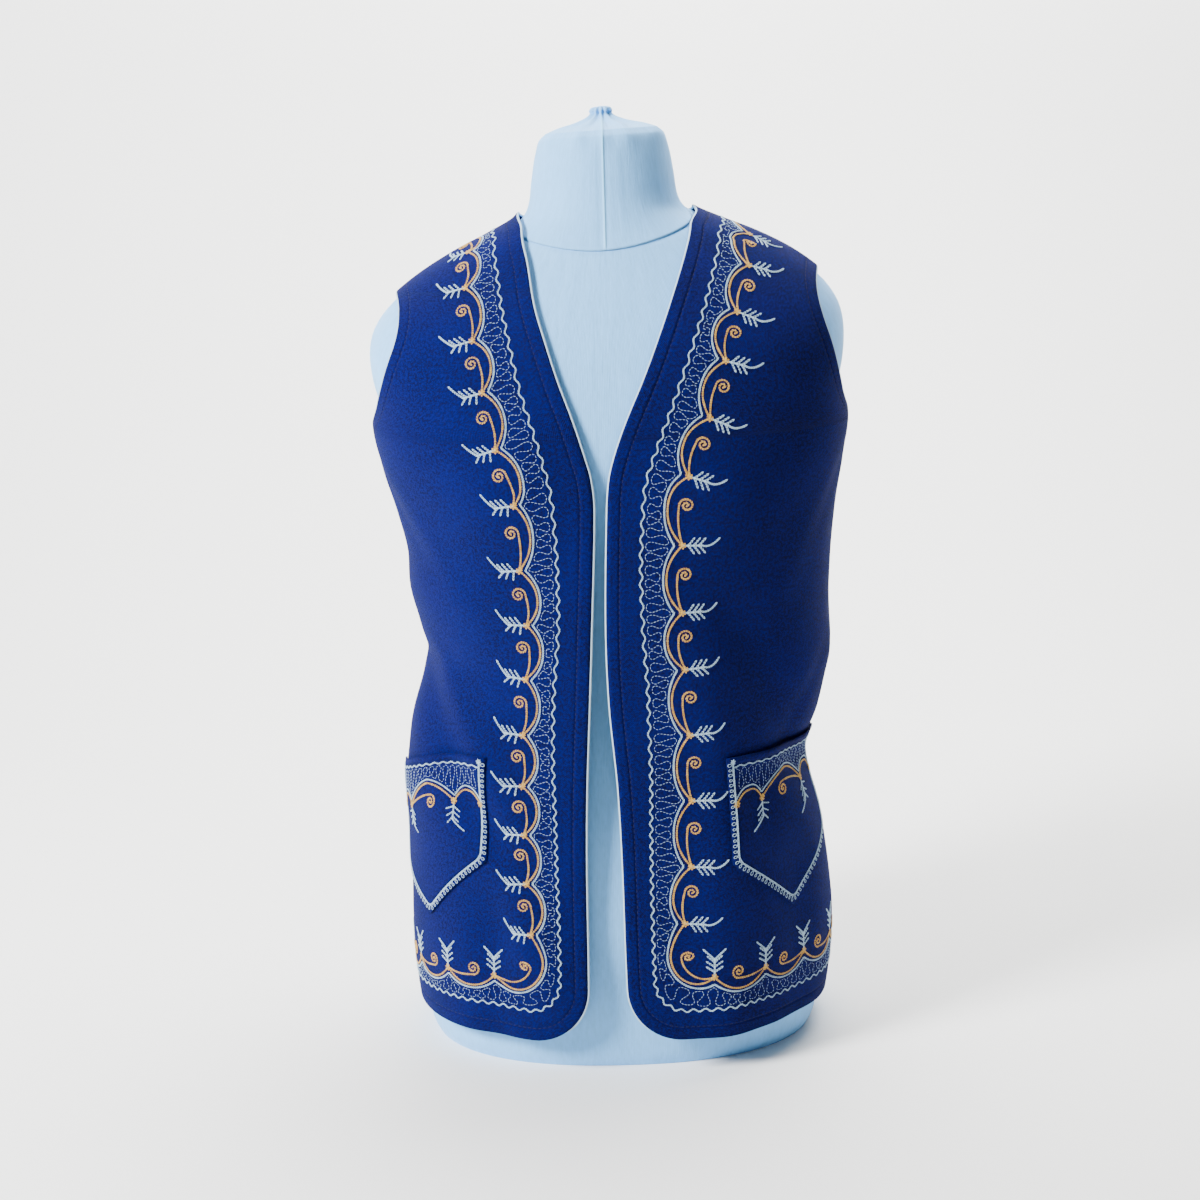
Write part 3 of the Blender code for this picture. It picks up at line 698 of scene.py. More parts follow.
def bakeModifiers(name, mesh, modifiers):
    rough = bpy.data.objects.new(name + "Rough", mesh)
    collection.objects.link(rough)
    modifiers(rough)
    graph = bpy.context.evaluated_depsgraph_get()
    plain = bpy.data.meshes.new_from_object(rough.evaluated_get(graph), depsgraph=graph)
    bpy.data.objects.remove(rough, do_unlink=True)
    plain.name = name
    return plain


def gridMesh(name, grids, uvs, distances=None):
    vertices = []
    faces = []
    flats = []
    edges = []
    for k, grid in enumerate(grids):
        rows, columns = grid.shape[:2]
        first = len(vertices)
        vertices.extend(map(tuple, grid.reshape(-1, 3)))
        flats.extend(map(tuple, uvs[k].reshape(-1, 2)))
        if distances is not None:
            edges.extend(distances[k].reshape(-1))
        index = first + np.arange(rows * columns).reshape(rows, columns)
        quads = np.stack([index[:-1, :-1], index[:-1, 1:], index[1:, 1:], index[1:, :-1]], axis=-1)
        faces.extend(map(tuple, quads.reshape(-1, 4).tolist()))
    mesh = bpy.data.meshes.new(name)
    mesh.from_pydata(vertices, [], faces)
    layer = mesh.uv_layers.new(name="cloth")
    corners = np.empty(len(mesh.loops), dtype=np.int32)
    mesh.loops.foreach_get("vertex_index", corners)
    layer.data.foreach_set("uv", np.array(flats)[corners].reshape(-1))
    if distances is not None:
        attribute = mesh.attributes.new("edgeDistance", "FLOAT", "POINT")
        attribute.data.foreach_set("value", np.array(edges, dtype=np.float32))
    mesh.shade_smooth()
    return mesh


def distanceTo(points, samples):
    tree = kdtree.KDTree(len(samples))
    for i, point in enumerate(samples):
        tree.insert(point, i)
    tree.balance()
    flat = points.reshape(-1, 3)
    found = [tree.find(point)[2] for point in flat]
    return np.array(found).reshape(points.shape[:-1])


def weld(rough):
    rough.modifiers.new("weld", "WELD").merge_threshold = 0.00002


def clothWall(thickness, isJoined=False):
    def apply(rough):
        if isJoined:
            weld(rough)
        wall = rough.modifiers.new("wall", "SOLIDIFY")
        wall.thickness = thickness
        wall.offset = 1
        wall.use_even_offset = True
    return apply


def panelGrid(side, heights, limits, columns):
    rows = [evenTurns(side, float(h), limits(side, float(h)), columns) for h in heights]
    turns = side * np.array(rows)
    if turns[0, 0] > turns[0, -1]:
        turns = turns[:, ::-1]
    return innerFace(turns, np.broadcast_to(heights[:, None], turns.shape))


# The flat pattern of a panel: across from its middle column, and up from its hem.
def clothUv(grid, shift):
    steps = np.linalg.norm(np.diff(grid, axis=1), axis=2)
    across = np.concatenate([np.zeros((len(grid), 1)), np.cumsum(steps, axis=1)], axis=1)
    middle = grid.shape[1] // 2
    across = across - across[:, middle : middle + 1] + shift
    up = distancesAlong(grid[:, middle])
    return np.stack([across, np.broadcast_to(up[:, None], across.shape)], axis=-1)


def flatSize(grid):
    first = np.cross(grid[:-1, 1:] - grid[:-1, :-1], grid[1:, 1:] - grid[:-1, :-1])
    second = np.cross(grid[1:, 1:] - grid[:-1, :-1], grid[1:, :-1] - grid[:-1, :-1])
    area = (np.linalg.norm(first, axis=-1).sum() + np.linalg.norm(second, axis=-1).sum()) / 2
    widths = np.linalg.norm(np.diff(grid, axis=1), axis=2).sum(axis=1)
    lengths = np.linalg.norm(np.diff(grid, axis=0), axis=2).sum(axis=0)
    return float(widths.max()), float(lengths.min()), float(area)


def declareSheet(grids, flat=None):
    sizesOf = [flatSize(grid) for grid in grids]
    if flat is None:
        flat = (sum(size[0] for size in sizesOf), max(size[1] for size in sizesOf))


def fineSamples(points, step=0.0012):
    out = []
    for a, b in zip(points[:-1], points[1:]):
        count = max(1, int(np.linalg.norm(b - a) / step))
        if count < 40:
            out.extend(a + (b - a) * (i / count) for i in range(count))
    out.append(points[-1])
    return out


def makePanel(name, node, grids, shift, samples):
    uvs = [clothUv(grid, shift * hand) for grid, hand in grids]
    grids = [grid for grid, hand in grids]
    distances = [distanceTo(grid, samples) for grid in grids]
    rough = gridMesh(name + "Face", grids, uvs, distances)
    mesh = bakeModifiers(name, rough, clothWall(vest["thickness"], len(grids) > 1))
    mesh.shade_smooth()
    made = addMesh(name, mesh, looks["vestCloth"], [node])
    declareSheet(grids)


def makeFront(side):
    heights = rowHeights(vest["bodyRows"])
    grid = panelGrid(side, heights, frontLimits, vest["columns"])
    edge, seam = (0, -1) if side == left else (-1, 0)
    samples = fineSamples(grid[:, edge]) + fineSamples(grid[0]) + fineSamples(grid[isArmhole(heights), seam])
    tag = tags[side]
    makePanel("vestFront" + tag, "vest_front_" + tag.lower(), [(grid, side)], 0.3, samples)


def makeBack():
    heights = rowHeights(vest["bodyRows"])
    grids = []
    samples = []
    for side in (left, right):
        grid = panelGrid(side, heights, backLimits, vest["backColumns"])
        grids.append((grid, side))
        seam, middle = (0, -1) if side == left else (-1, 0)
        samples += fineSamples(grid[0])
        samples += fineSamples(grid[isArmhole(heights), seam])
        samples += fineSamples(grid[heights >= vest["backNeck"], middle])
    makePanel("vestBack", "vest_back", grids, 0.15, samples)


makeFront(right)
makeFront(left)
makeBack()
print("vest panels made")


# Pockets: places on the front are given by their distance from its edge.
class FrontPlaces:
    def __init__(self, side):
        self.side = side
        self.heights = np.linspace(0.028, 0.470, 150)
        self.turns = np.linspace(-16.0, 104.0, 241)
        self.arcs = []
        for height in self.heights:
            arc = distancesAlong(innerFace(side * self.turns, np.full(self.turns.shape, height)))
            edge = frontLimits(side, float(height), rounded=False)[0]
            self.arcs.append(arc - np.interp(edge, self.turns, arc))
        self.arcs = np.array(self.arcs)

    def turn(self, heights, distances):
        heights = np.asarray(heights, float)
        distances = np.broadcast_to(np.asarray(distances, float), heights.shape)
        step = self.heights[1] - self.heights[0]
        place = np.clip((heights - self.heights[0]) / step, 0, len(self.heights) - 1.001)
        low = place.astype(int)
        share = place - low
        out = np.empty(heights.shape)
        for i, d in np.ndenumerate(distances):
            below = np.interp(d, self.arcs[low[i]], self.turns)
            above = np.interp(d, self.arcs[low[i] + 1], self.turns)
            out[i] = below + (above - below) * share[i]
        return self.side * out

    def arc(self, turn, height):
        step = self.heights[1] - self.heights[0]
        row = int(np.clip(round((height - self.heights[0]) / step), 0, len(self.heights) - 1))
        return float(np.interp(self.side * turn, self.turns, self.arcs[row]))


places = {side: FrontPlaces(side) for side in (right, left)}


def pocketFoot(across):
    return pocket["top"] - pocket["side"] - pocket["point"] * (1 - np.abs(2 * across - 1))


def pocketLift(across, heights):
    foot = pocketFoot(across)
    up = np.clip((heights - foot) / (pocket["top"] - foot), 0.0, 1.0)
    mouth = pocket["mouthLift"] * (1 - (2 * across - 1) ** 2) * up**5
    return vest["thickness"] + pocket["gap"] + mouth


def onPocket(side, across, heights, lift):
    turns = places[side].turn(heights, pocket["fromEdge"][side] + pocket["width"] * across)
    return onCloth(turns, heights, pocketLift(across, heights) + lift)


def makePocket(side):
    tag = tags[side]
    name = "pocket" + tag
    across = np.linspace(0, 1, pocket["columns"] + 1)[None, :]
    up = np.linspace(0, 1, pocket["rows"] + 1)[:, None]
    foot = pocketFoot(across)
    heights = foot + (pocket["top"] - foot) * up
    across = np.broadcast_to(across, heights.shape)
    grid = onPocket(side, across, heights, 0.0)[0]
    flatPlaces = np.stack([side * (across - 0.5) * pocket["width"], heights], axis=-1)
    rim = [point for line in (grid[:, 0], grid[:, -1], grid[0], grid[-1]) for point in fineSamples(line)]
    distance = distanceTo(grid, rim) + pocket["topstitchShift"]
    if side == right:
        grid = grid[:, ::-1]
        flatPlaces = flatPlaces[:, ::-1]
        distance = distance[:, ::-1]
    rough = gridMesh(name + "Face", [grid], [flatPlaces], [distance])
    mesh = bakeModifiers(name, rough, clothWall(pocket["thickness"]))
    mesh.shade_smooth()
    made = addMesh(name, mesh, looks["vestCloth"], ["pocket_" + tag.lower()])
    width = flatSize(grid[-2:])[0]
    middle = pocket["columns"] // 2
    length = flatSize(grid[:, middle : middle + 2])[1]
    declareSheet([grid], (width, length))


makePocket(right)
makePocket(left)
print("pockets made")


def startTree(name, floats, whole):
    tree = bpy.data.node_groups.new(name, "GeometryNodeTree")
    inputs = [("Path", "Geometry"), (whole, "Int"), ("Thread", "Material")]
    inputs += [(label, "Float") for label in floats]
    for label, kind in inputs:
        tree.interface.new_socket(label, in_out="INPUT", socket_type="NodeSocket" + kind)
    tree.interface.new_socket("Sewn", in_out="OUTPUT", socket_type="NodeSocketGeometry")
    nodes = Nodes(tree)
    given = nodes.make("NodeGroupInput")
    curve = nodes.make("GeometryNodeMeshToCurve", {}, {"Mesh": given.out("Path")})
    sockets = {"Curve": curve.out("Curve"), "Length": given.out("Spacing")}
    return nodes, given, nodes.make("GeometryNodeResampleCurve", {"mode": "LENGTH"}, sockets).out("Curve")


def finishTree(nodes, given, geometry):
    real = nodes.make("GeometryNodeRealizeInstances", {}, {"Geometry": geometry})
    smooth = nodes.make("GeometryNodeSetShadeSmooth", {}, {"Geometry": real.out("Geometry")})
    sockets = {"Geometry": smooth.out("Geometry"), "Material": given.out("Thread")}
    coloured = nodes.make("GeometryNodeSetMaterial", {}, sockets)
    nodes.make("NodeGroupOutput", {}, {"Sewn": coloured.out("Geometry")})
    return nodes.tree


# Stitches: this tree lays a small stitch at even steps along every line of a piece.
def stitchTree(name, isChain):
    floats = ("Spacing", "Length", "Width", "Height", "Spread", "Unevenness")
    nodes, given, steps = startTree(name, floats, "Seed")
    awayName = {"Name": "away"}
    away = nodes.make("GeometryNodeInputNamedAttribute", {"data_type": "FLOAT_VECTOR"}, awayName)
    tangent = nodes.make("GeometryNodeInputTangent").out("Tangent")
    align = "FunctionNodeAlignRotationToVector"
    upright = nodes.make(align, {"axis": "Z"}, {"Vector": away.out("Attribute")}).out("Rotation")
    facing = nodes.make(align, {"axis": "X", "pivot_axis": "Z"}, {"Rotation": upright, "Vector": tangent})
    ball = nodes.make("GeometryNodeMeshUVSphere", {}, {"Segments": 6, "Rings": 4, "Radius": 0.5}).out("Mesh")
    lengths = {"X": given.out("Length"), "Y": given.out("Width"), "Z": given.out("Height")}
    shape = nodes.make("ShaderNodeCombineXYZ", {}, lengths).out()
    if isChain:
        stitch = nodes.make("GeometryNodeJoinGeometry")
        for hand in (1.0, -1.0):
            aside = nodes.make("ShaderNodeCombineXYZ", {}, {"Y": given.number("Spread") * hand}).out()
            placed = {"Translation": aside, "Rotation": (0.0, 0.0, -0.30 * hand)}
            half = nodes.make("GeometryNodeTransform", {}, {"Geometry": ball, "Scale": shape, **placed})
            nodes.join(half.out("Geometry"), stitch.node.inputs[0])
    else:
        stitch = nodes.make("GeometryNodeTransform", {}, {"Geometry": ball, "Scale": shape})
    least = 1.0 - given.number("Unevenness")
    most = 1.0 + given.number("Unevenness")
    sockets = {2: least, 3: most, "Seed": given.out("Seed")}
    change = nodes.make("FunctionNodeRandomValue", {"data_type": "FLOAT"}, sockets).out(1)
    sockets = {
        "Points": steps,
        "Instance": stitch.out("Geometry"),
        "Rotation": facing.out("Rotation"),
        "Scale": change,
    }
    laid = nodes.make("GeometryNodeInstanceOnPoints", {}, sockets)
    return finishTree(nodes, given, laid.out("Instances"))


# Cords and couched threads: this tree sweeps a round section along every line of a piece.
def cordTree(name):
    nodes, given, steps = startTree(name, ("Spacing", "Radius"), "Sides")
    sockets = {"Resolution": given.out("Sides"), "Radius": given.out("Radius")}
    ring = nodes.make("GeometryNodeCurvePrimitiveCircle", {"mode": "RADIUS"}, sockets)
    sockets = {"Curve": steps, "Profile Curve": ring.out("Curve"), "Fill Caps": True}
    tube = nodes.make("GeometryNodeCurveToMesh", {}, sockets)
    return finishTree(nodes, given, tube.out("Mesh"))


trees = {
    "chain": stitchTree("chainStitch", True),
    "run": stitchTree("runningStitch", False),
    "cord": cordTree("laidCord"),
}
total = {"triangles": 0}


def sew(name, lines, kind, replaces=()):
    treeName, look, slot, settings = threads[kind]
    tree = trees[treeName]
    vertices = []
    edges = []
    away = []
    for points, normals in lines:
        first = len(vertices)
        vertices.extend(map(tuple, points))
        away.extend(map(tuple, normals))
        edges.extend((first + i, first + i + 1) for i in range(len(points) - 1))
    path = bpy.data.meshes.new(name + "Path")
    path.from_pydata(vertices, edges, [])
    attribute = path.attributes.new("away", "FLOAT_VECTOR", "POINT")
    attribute.data.foreach_set("vector", np.array(away, dtype=np.float32).reshape(-1))

    def modifiers(rough):
        modifier = rough.modifiers.new("sewn", "NODES")
        modifier.node_group = tree
        values = dict(settings, Thread=looks[look])
        for item in tree.interface.items_tree:
            if item.in_out == "INPUT" and item.name in values:
                modifier[item.identifier] = values[item.name]

    mesh = bakeModifiers(name, path, modifiers)
    triangles = sum(len(face.vertices) - 2 for face in mesh.polygons)
    total["triangles"] += triangles
    print(name, "triangles", triangles)
    addMesh(name, mesh, looks[look], replaces)


# Lines of embroidery follow a band at some distance inside the front's edge, round its corner.
def offsetLine(turns, heights, distances, sign):
    turns = np.array(turns, float)
    heights = np.array(heights, float)
    points = innerFace(turns, heights)
    tangents = unit(np.gradient(points, axis=0))
    inward = unit(sign * np.cross(awayFrom(turns, heights), tangents))
    count = 8
    for i in range(count):
        across, up = slopesAt(turns, heights)
        away = unit(np.cross(across, up))
        inward = unit(inward - away * (inward * away).sum(axis=-1, keepdims=True))
        step = inward * (np.asarray(distances) / count)[..., None]
        dt, dh = stepOn(across, up, step)
        turns = turns + dt
        heights = np.clip(heights + dh, vest["hem"], vest["neckPoint"])
    return turns, heights


def stepOn(across, up, step):
    aa = (across * across).sum(axis=-1)
    au = (across * up).sum(axis=-1)
    uu = (up * up).sum(axis=-1)
    sa = (step * across).sum(axis=-1)
    su = (step * up).sum(axis=-1)
    det = aa * uu - au * au
    return (sa * uu - su * au) / det, (su * aa - sa * au) / det


class Band:
    def __init__(self, side, inset, cornerRadius, hemInset=None):
        self.side = side
        heights = np.linspace(vest["neckPoint"] - 0.0005, vest["hem"], 420)
        turns = np.array([side * frontLimits(side, float(h), rounded=False)[0] for h in heights])
        if isinstance(inset, str):
            insets = alongTable(insetRows, inset, heights)
        else:
            insets = np.full(len(heights), inset)
        lower = float(insets[-1]) if hemInset is None else hemInset
        t, h = offsetLine(turns, heights, insets, side)
        limit = np.array([seamTurn(float(v), -1) - 0.8 for v in h])
        keep = (side * t < limit) & (h > vest["hem"] + lower + cornerRadius)
        t = t[keep]
        h = h[keep]
        feet = heights[keep]
        falling = [0]
        for i in range(1, len(h)):
            if h[i] < h[falling[-1]] - 1e-5:
                falling.append(i)
        t = list(t[falling])
        h = list(h[falling])
        feet = feet[falling]
        arc = places[side].arc(t[-1], h[-1])
        cornerHeight = h[-1]
        cornerArcs = []
        cornerHeights = []
        for angle in np.radians(np.linspace(4, 90, 24)):
            cornerArcs.append(arc + cornerRadius * (1 - math.cos(angle)))
            cornerHeights.append(cornerHeight - cornerRadius * math.sin(angle))
        outer = places[side].arc(side * (seamTurn(vest["hem"], -1) - 0.8), vest["hem"] + lower)
        for far in np.arange(arc + cornerRadius + 0.001, outer, 0.001):
            cornerArcs.append(far)
            cornerHeights.append(cornerHeight - cornerRadius)
        t += list(places[side].turn(np.array(cornerHeights), np.array(cornerArcs)))
        h += cornerHeights
        t = np.array(t)
        h = np.array(h)
        along = distancesAlong(innerFace(t, h))
        self.length = along[-1]
        self.s = np.linspace(0, self.length, int(self.length / 0.001))
        self.turns = np.interp(self.s, along, t)
        self.heights = np.interp(self.s, along, h)
        self.feet = feet
        self.footPlaces = along[: len(feet)]
        points = innerFace(self.turns, self.heights)
        self.along = unit(smoothed(unit(np.gradient(points, axis=0)), 9))
        self.inward = unit(side * np.cross(awayFrom(self.turns, self.heights), self.along))

    # The place that is s along the band, b to its inner side and a further along.
    def spot(self, s, b=0.0, a=0.0):
        s = np.asarray(s, float)
        b = np.broadcast_to(b, s.shape)
        a = np.broadcast_to(a, s.shape)
        t = np.interp(s, self.s, self.turns)
        h = np.interp(s, self.s, self.heights)
        inward = unit(columnsAt(s, self.s, self.inward))
        along = unit(columnsAt(s, self.s, self.along))
        half = (inward * b[..., None] + along * a[..., None]) / 2
        for _ in range(2):
            across, up = slopesAt(t, h)
            dt, dh = stepOn(across, up, half)
            t = t + dt
            h = np.minimum(h + dh, vest["neckPoint"])
        return t, h

    def line(self, s, b, lift, a=0.0):
        t, h = self.spot(s, b, a)
        return onCloth(t, h, vest["thickness"] + lift)

    def placeOf(self, height):
        return float(np.interp(-height, -self.feet, self.footPlaces))


# How far inside the front's edge the points of the scallops and the wavy line lie, on each side.
Inset = namedtuple("Inset", "height scallopRight scallopLeft wavyRight wavyLeft")
insetRows = [
    Inset(0.03, 0.0365, 0.0372, 0.0212, 0.0207),
    Inset(0.12, 0.0378, 0.0390, 0.0211, 0.0207),
    Inset(0.16, 0.0409, 0.0447, 0.0218, 0.0212),
    Inset(0.20, 0.0420, 0.0470, 0.0227, 0.0225),
    Inset(0.25, 0.0443, 0.0504, 0.0251, 0.0258),
    Inset(0.30, 0.0436, 0.0510, 0.0259, 0.0286),
    Inset(0.35, 0.0425, 0.0496, 0.0238, 0.0268),
    Inset(0.40, 0.0494, 0.0488, 0.0259, 0.0250),
    Inset(0.45, 0.0522, 0.0486, 0.0297, 0.0260),
    Inset(0.50, 0.0535, 0.0487, 0.0287, 0.0270),
    Inset(0.54, 0.0484, 0.0465, 0.0265, 0.0250),
    Inset(0.58, 0.0437, 0.0413, 0.0230, 0.0240),
    Inset(0.61, 0.0425, 0.0416, 0.0225, 0.0225),
    Inset(0.64, 0.0365, 0.0365, 0.0210, 0.0212),
]

# The border: where its lines and points lie, in metres.
border = {
    "wavyHemInset": {right: 0.0232, left: 0.0220},
    "wavyRadius": 0.024,
    "wavyPitch": {"below": 0.0090, "above": 0.0115},
    "wavyDepth": 0.0011,
    "fillPitch": 0.0090,
    "fillLoop": 0.0020,
    "fillFromWavy": 0.0028,
    "fillFromScallop": 0.0024,
    "scallopRadius": 0.026,
    "scallopHemInset": {right: 0.0420, left: 0.0425},
    "depth": 0.0080,
    "knot": {right: 0.0045, left: 0.0058},
    "goldDepth": {right: 0.0103, left: 0.0114},
    "cornerLength": {right: 0.0705, left: 0.0658},
    "hemPitch": {right: 0.042, left: 0.044},
    "scallopHeights": {
        right: (
            0.632, 0.605, 0.5745, 0.540, 0.502, 0.448, 0.393,
            0.3515, 0.309, 0.266, 0.228, 0.1915, 0.154, 0.1156,
        ),
        left: (
            0.6405, 0.618, 0.588, 0.557, 0.523, 0.479, 0.414,
            0.362, 0.317, 0.263, 0.215, 0.166, 0.1224,
        ),
    },
}

chain = {"Spacing": 0.0019, "Length": 0.0025, "Width": 0.00056, "Height": 0.00070, "Spread": 0.00034}
running = {"Unevenness": 0.10}

# What each kind of sewing is laid by, its look and slot, and the sizes of its stitch or cord.
threads = {
    "white": ("chain", "whiteThread", "white_thread", dict(chain, Unevenness=0.10, Seed=3)),
    "gold": (
        "chain", "goldThread", "gold_thread",
        dict(chain, Spacing=0.0018, Length=0.0020, Width=0.00066, Unevenness=0.14, Seed=5),
    ),
    "wavy": (
        "chain", "whiteThread", "white_thread",
        dict(chain, Spacing=0.0017, Width=0.00048, Spread=0.00025, Unevenness=0.10, Seed=7),
    ),
    "fern": (
        "chain", "whiteThread", "white_thread",
        dict(chain, Spacing=0.0018, Width=0.00062, Unevenness=0.08, Seed=9),
    ),
    "fill": (
        "run", "fineThread", "white_thread",
        dict(running, Spacing=0.0025, Length=0.0020, Width=0.00040, Height=0.00036, Seed=11),
    ),
    "hidden": (
        "run", "blueThread", "vest_cloth",
        dict(running, Spacing=0.0042, Length=0.0028, Width=0.00050, Height=0.00040, Seed=13),
    ),
    "loop": ("cord", "whiteThread", "white_thread", {"Spacing": 0.0008, "Radius": 0.00022, "Sides": 5}),
    "edge": ("cord", "whiteEdge", "white_thread", {"Spacing": 0.0025, "Radius": 0.00095, "Sides": 10}),
}
lift = 0.00022
knotLift = 0.0003


def scallopCusps(band, side):
    cusps = [band.placeOf(height) for height in border["scallopHeights"][side]]
    cusps = [2 * cusps[0] - cusps[1]] + cusps
    cusps.append(cusps[-1] + border["cornerLength"][side])
    while cusps[-1] < band.length:
        cusps.append(cusps[-1] + border["hemPitch"][side])
    return cusps


def bulge(cusps, s):
    out = np.zeros(len(s))
    for a, b in zip(cusps[:-1], cusps[1:]):
        inside = (s >= a) & (s <= b)
        u = (s[inside] - a) / (b - a)
        out[inside] = 1 - np.abs(2 * u - 1) ** 2.2
    return out


def curve(points, count):
    p0, p1, p2, p3 = (np.array(p) for p in points)
    t = np.linspace(0, 1, count)[:, None]
    return (1 - t) ** 3 * p0 + 3 * (1 - t) ** 2 * t * p1 + 3 * (1 - t) * t * t * p2 + t**3 * p3


# A curl wound round its centre, and the stem that it grows from.
curl = {
    "radius": 0.0055,
    "endRadius": 0.0006,
    "startTurn": -80,
    "winding": 620,
    "leaving": (0.0082, 0.0033),
    "arriving": (0.0080, 0.0010),
}


def spiral(centre, root):
    share = np.linspace(0, 1, 70)
    radius = curl["radius"] + (curl["endRadius"] - curl["radius"]) * share
    angle = np.radians(curl["startTurn"] - curl["winding"] * share)
    wound = np.array(centre) + np.stack([radius * np.cos(angle), radius * np.sin(angle)], axis=-1)
    leaving = np.array(root) - curl["leaving"]
    arriving = wound[0] + (curl["arriving"][0], -curl["arriving"][1])
    stem = curve([root, leaving, arriving, wound[0]], 30)
    return np.concatenate([stem[:-1], wound])


# A sprig's strokes, as (along the band, into the panel) in metres from its knot.
sprig = {
    "stem": [(0.0, 0.0008), (0.0, 0.0050), (0.0, 0.0095), (0.0, 0.0140)],
    "tips": {
        right: [[(0.0, 0.0140), (-0.0020, 0.0165), (-0.0060, 0.0200), (-0.0105, 0.0228)]],
        left: [[(0.0, 0.0140), (0.0015, 0.0180), (-0.0005, 0.0225), (-0.0050, 0.0262)]],
        "hem": [
            [(0.0, 0.0135), (0.0020, 0.0165), (0.0055, 0.0190), (0.0080, 0.0215)],
            [(0.0, 0.0135), (-0.0020, 0.0165), (-0.0055, 0.0190), (-0.0080, 0.0215)],
        ],
    },
    "roots": [0.0042, 0.0082, 0.0120],
    "upper": {
        right: [(-0.0053, 0.0040), (-0.0053, 0.0040), (-0.0050, 0.0040)],
        left: [(-0.0053, 0.0040), (-0.0053, 0.0040), (-0.0050, 0.0040)],
        "hem": [(-0.0055, 0.0036), (-0.0055, 0.0038), (-0.0050, 0.0042)],
    },
    "lower": {
        right: [(0.0062, 0.0012), (0.0051, 0.0025), (0.0042, 0.0040)],
        left: [(0.0055, 0.0040), (0.0055, 0.0040), (0.0050, 0.0042)],
        "hem": [(0.0055, 0.0036), (0.0055, 0.0038), (0.0050, 0.0042)],
    },
}


def sprigStrokes(kind):
    strokes = [curve(sprig["stem"], 16)]
    strokes += [curve(tip, 12) for tip in sprig["tips"][kind]]
    for i, inward in enumerate(sprig["roots"]):
        root = np.array([0.0, inward])
        for barbs in (sprig["upper"][kind], sprig["lower"][kind]):
            strokes.append(np.linspace(root, root + np.array(barbs[i]), 6))
    return strokes


def knotStrokes(size=0.0019):
    strokes = []
    for angle in np.radians((12, 72, 132)):
        end = np.array([math.cos(angle), math.sin(angle)]) * size
        strokes.append(np.linspace(-end, end, 5))
    return strokes


def makeBorder(side):
    tag = tags[side]
    knot = border["knot"][side]
    band = Band(side, "scallop" + tag, border["scallopRadius"], border["scallopHemInset"][side])
    cusps = scallopCusps(band, side)
    s = np.arange(0.0005, band.length - 0.001, 0.0008)
    rise = bulge(cusps, s)
    white = [band.line(s, -border["depth"] * rise, lift)]
    gold = [band.line(s, knot - border["goldDepth"][side] * rise, lift)]
    fern = []
    goldWork = []
    corner = cusps[len(border["scallopHeights"][side])]
    shown = [c for c in cusps if 0.002 < c < band.length - 0.004]
    for a, b in zip(cusps[:-1], cusps[1:]):
        length = b - a
        drawn = spiral((0.43 * length, 0.0080), (length - 0.0008, knot))
        keep = (a + drawn[:, 0] > 0.002) & (a + drawn[:, 0] < band.length - 0.002)
        if keep.all():
            goldWork.append(band.line(a + drawn[:, 0], drawn[:, 1], lift))
    for c in shown:
        for stroke in sprigStrokes("hem" if c > corner + 0.01 else side):
            fern.append(band.line(np.full(len(stroke), c), knot + stroke[:, 1], lift, stroke[:, 0]))
        for stroke in knotStrokes():
            up = lift + knotLift
            goldWork.append(band.line(np.full(len(stroke), c), knot + stroke[:, 1], up, stroke[:, 0]))
    wavyBand = Band(side, "wavy" + tag, border["wavyRadius"], border["wavyHemInset"][side])
    s = np.arange(0.0005, wavyBand.length - 0.001, 0.0006)
    pitches = border["wavyPitch"]
    isAbove = smoothStep(0.22, 0.28, np.interp(s, wavyBand.s, wavyBand.heights))
    turning = 2 * math.pi * 0.0006 / (pitches["below"] + (pitches["above"] - pitches["below"]) * isAbove)
    wave = border["wavyDepth"] * np.sin(np.cumsum(turning) + 0.5 * np.sin(s * 61))
    wavy = [wavyBand.line(s, wave, lift)]
    phase = np.arange(0, 2 * math.pi * (band.length - 0.006) / border["fillPitch"], 0.11)
    along = border["fillPitch"] * phase / (2 * math.pi) + border["fillLoop"] * np.sin(2 * phase)
    along = np.clip(along + 0.003 + 0.0007 * np.sin(phase * 0.37), 0.001, band.length - 0.001)
    fromWavy = distanceTo(innerFace(*band.spot(along)), innerFace(wavyBand.turns, wavyBand.heights))
    near = border["fillFromWavy"] - fromWavy
    far = -border["depth"] * bulge(cusps, along) - border["fillFromScallop"]
    far = np.maximum(far, near + 0.0008)
    b = (near + far) / 2 + (far - near) / 2 * np.cos(phase)
    fill = [band.line(along, b, lift * 0.6)]
    sew("scallops" + tag, white, "white")
    sew("sprigs" + tag, fern, "fern")
    sew("wavyLine" + tag, wavy, "wavy")
    sew("filling" + tag, fill, "fill")
    sew("goldLine" + tag, gold, "gold")
    sew("goldCurls" + tag, goldWork, "gold")


makeBorder(right)
makeBorder(left)
print("borders embroidered")

pocketTrim = {
    "lineInset": 0.0047,
    "loopInset": 0.0023,
    "loopRadius": 0.0019,
    "loopPitch": 0.0041,
    "wavyBelow": 0.0070,
    "cuspBelow": 0.0330,
    "bulge": 0.0145,
    "knot": 0.0040,
    "goldDepth": 0.0157,
    "cusps": (0.0053, 0.031, 0.088, 0.116),
    "curl": (0.055, 0.0030),
    "fillPitch": 0.0068,
}


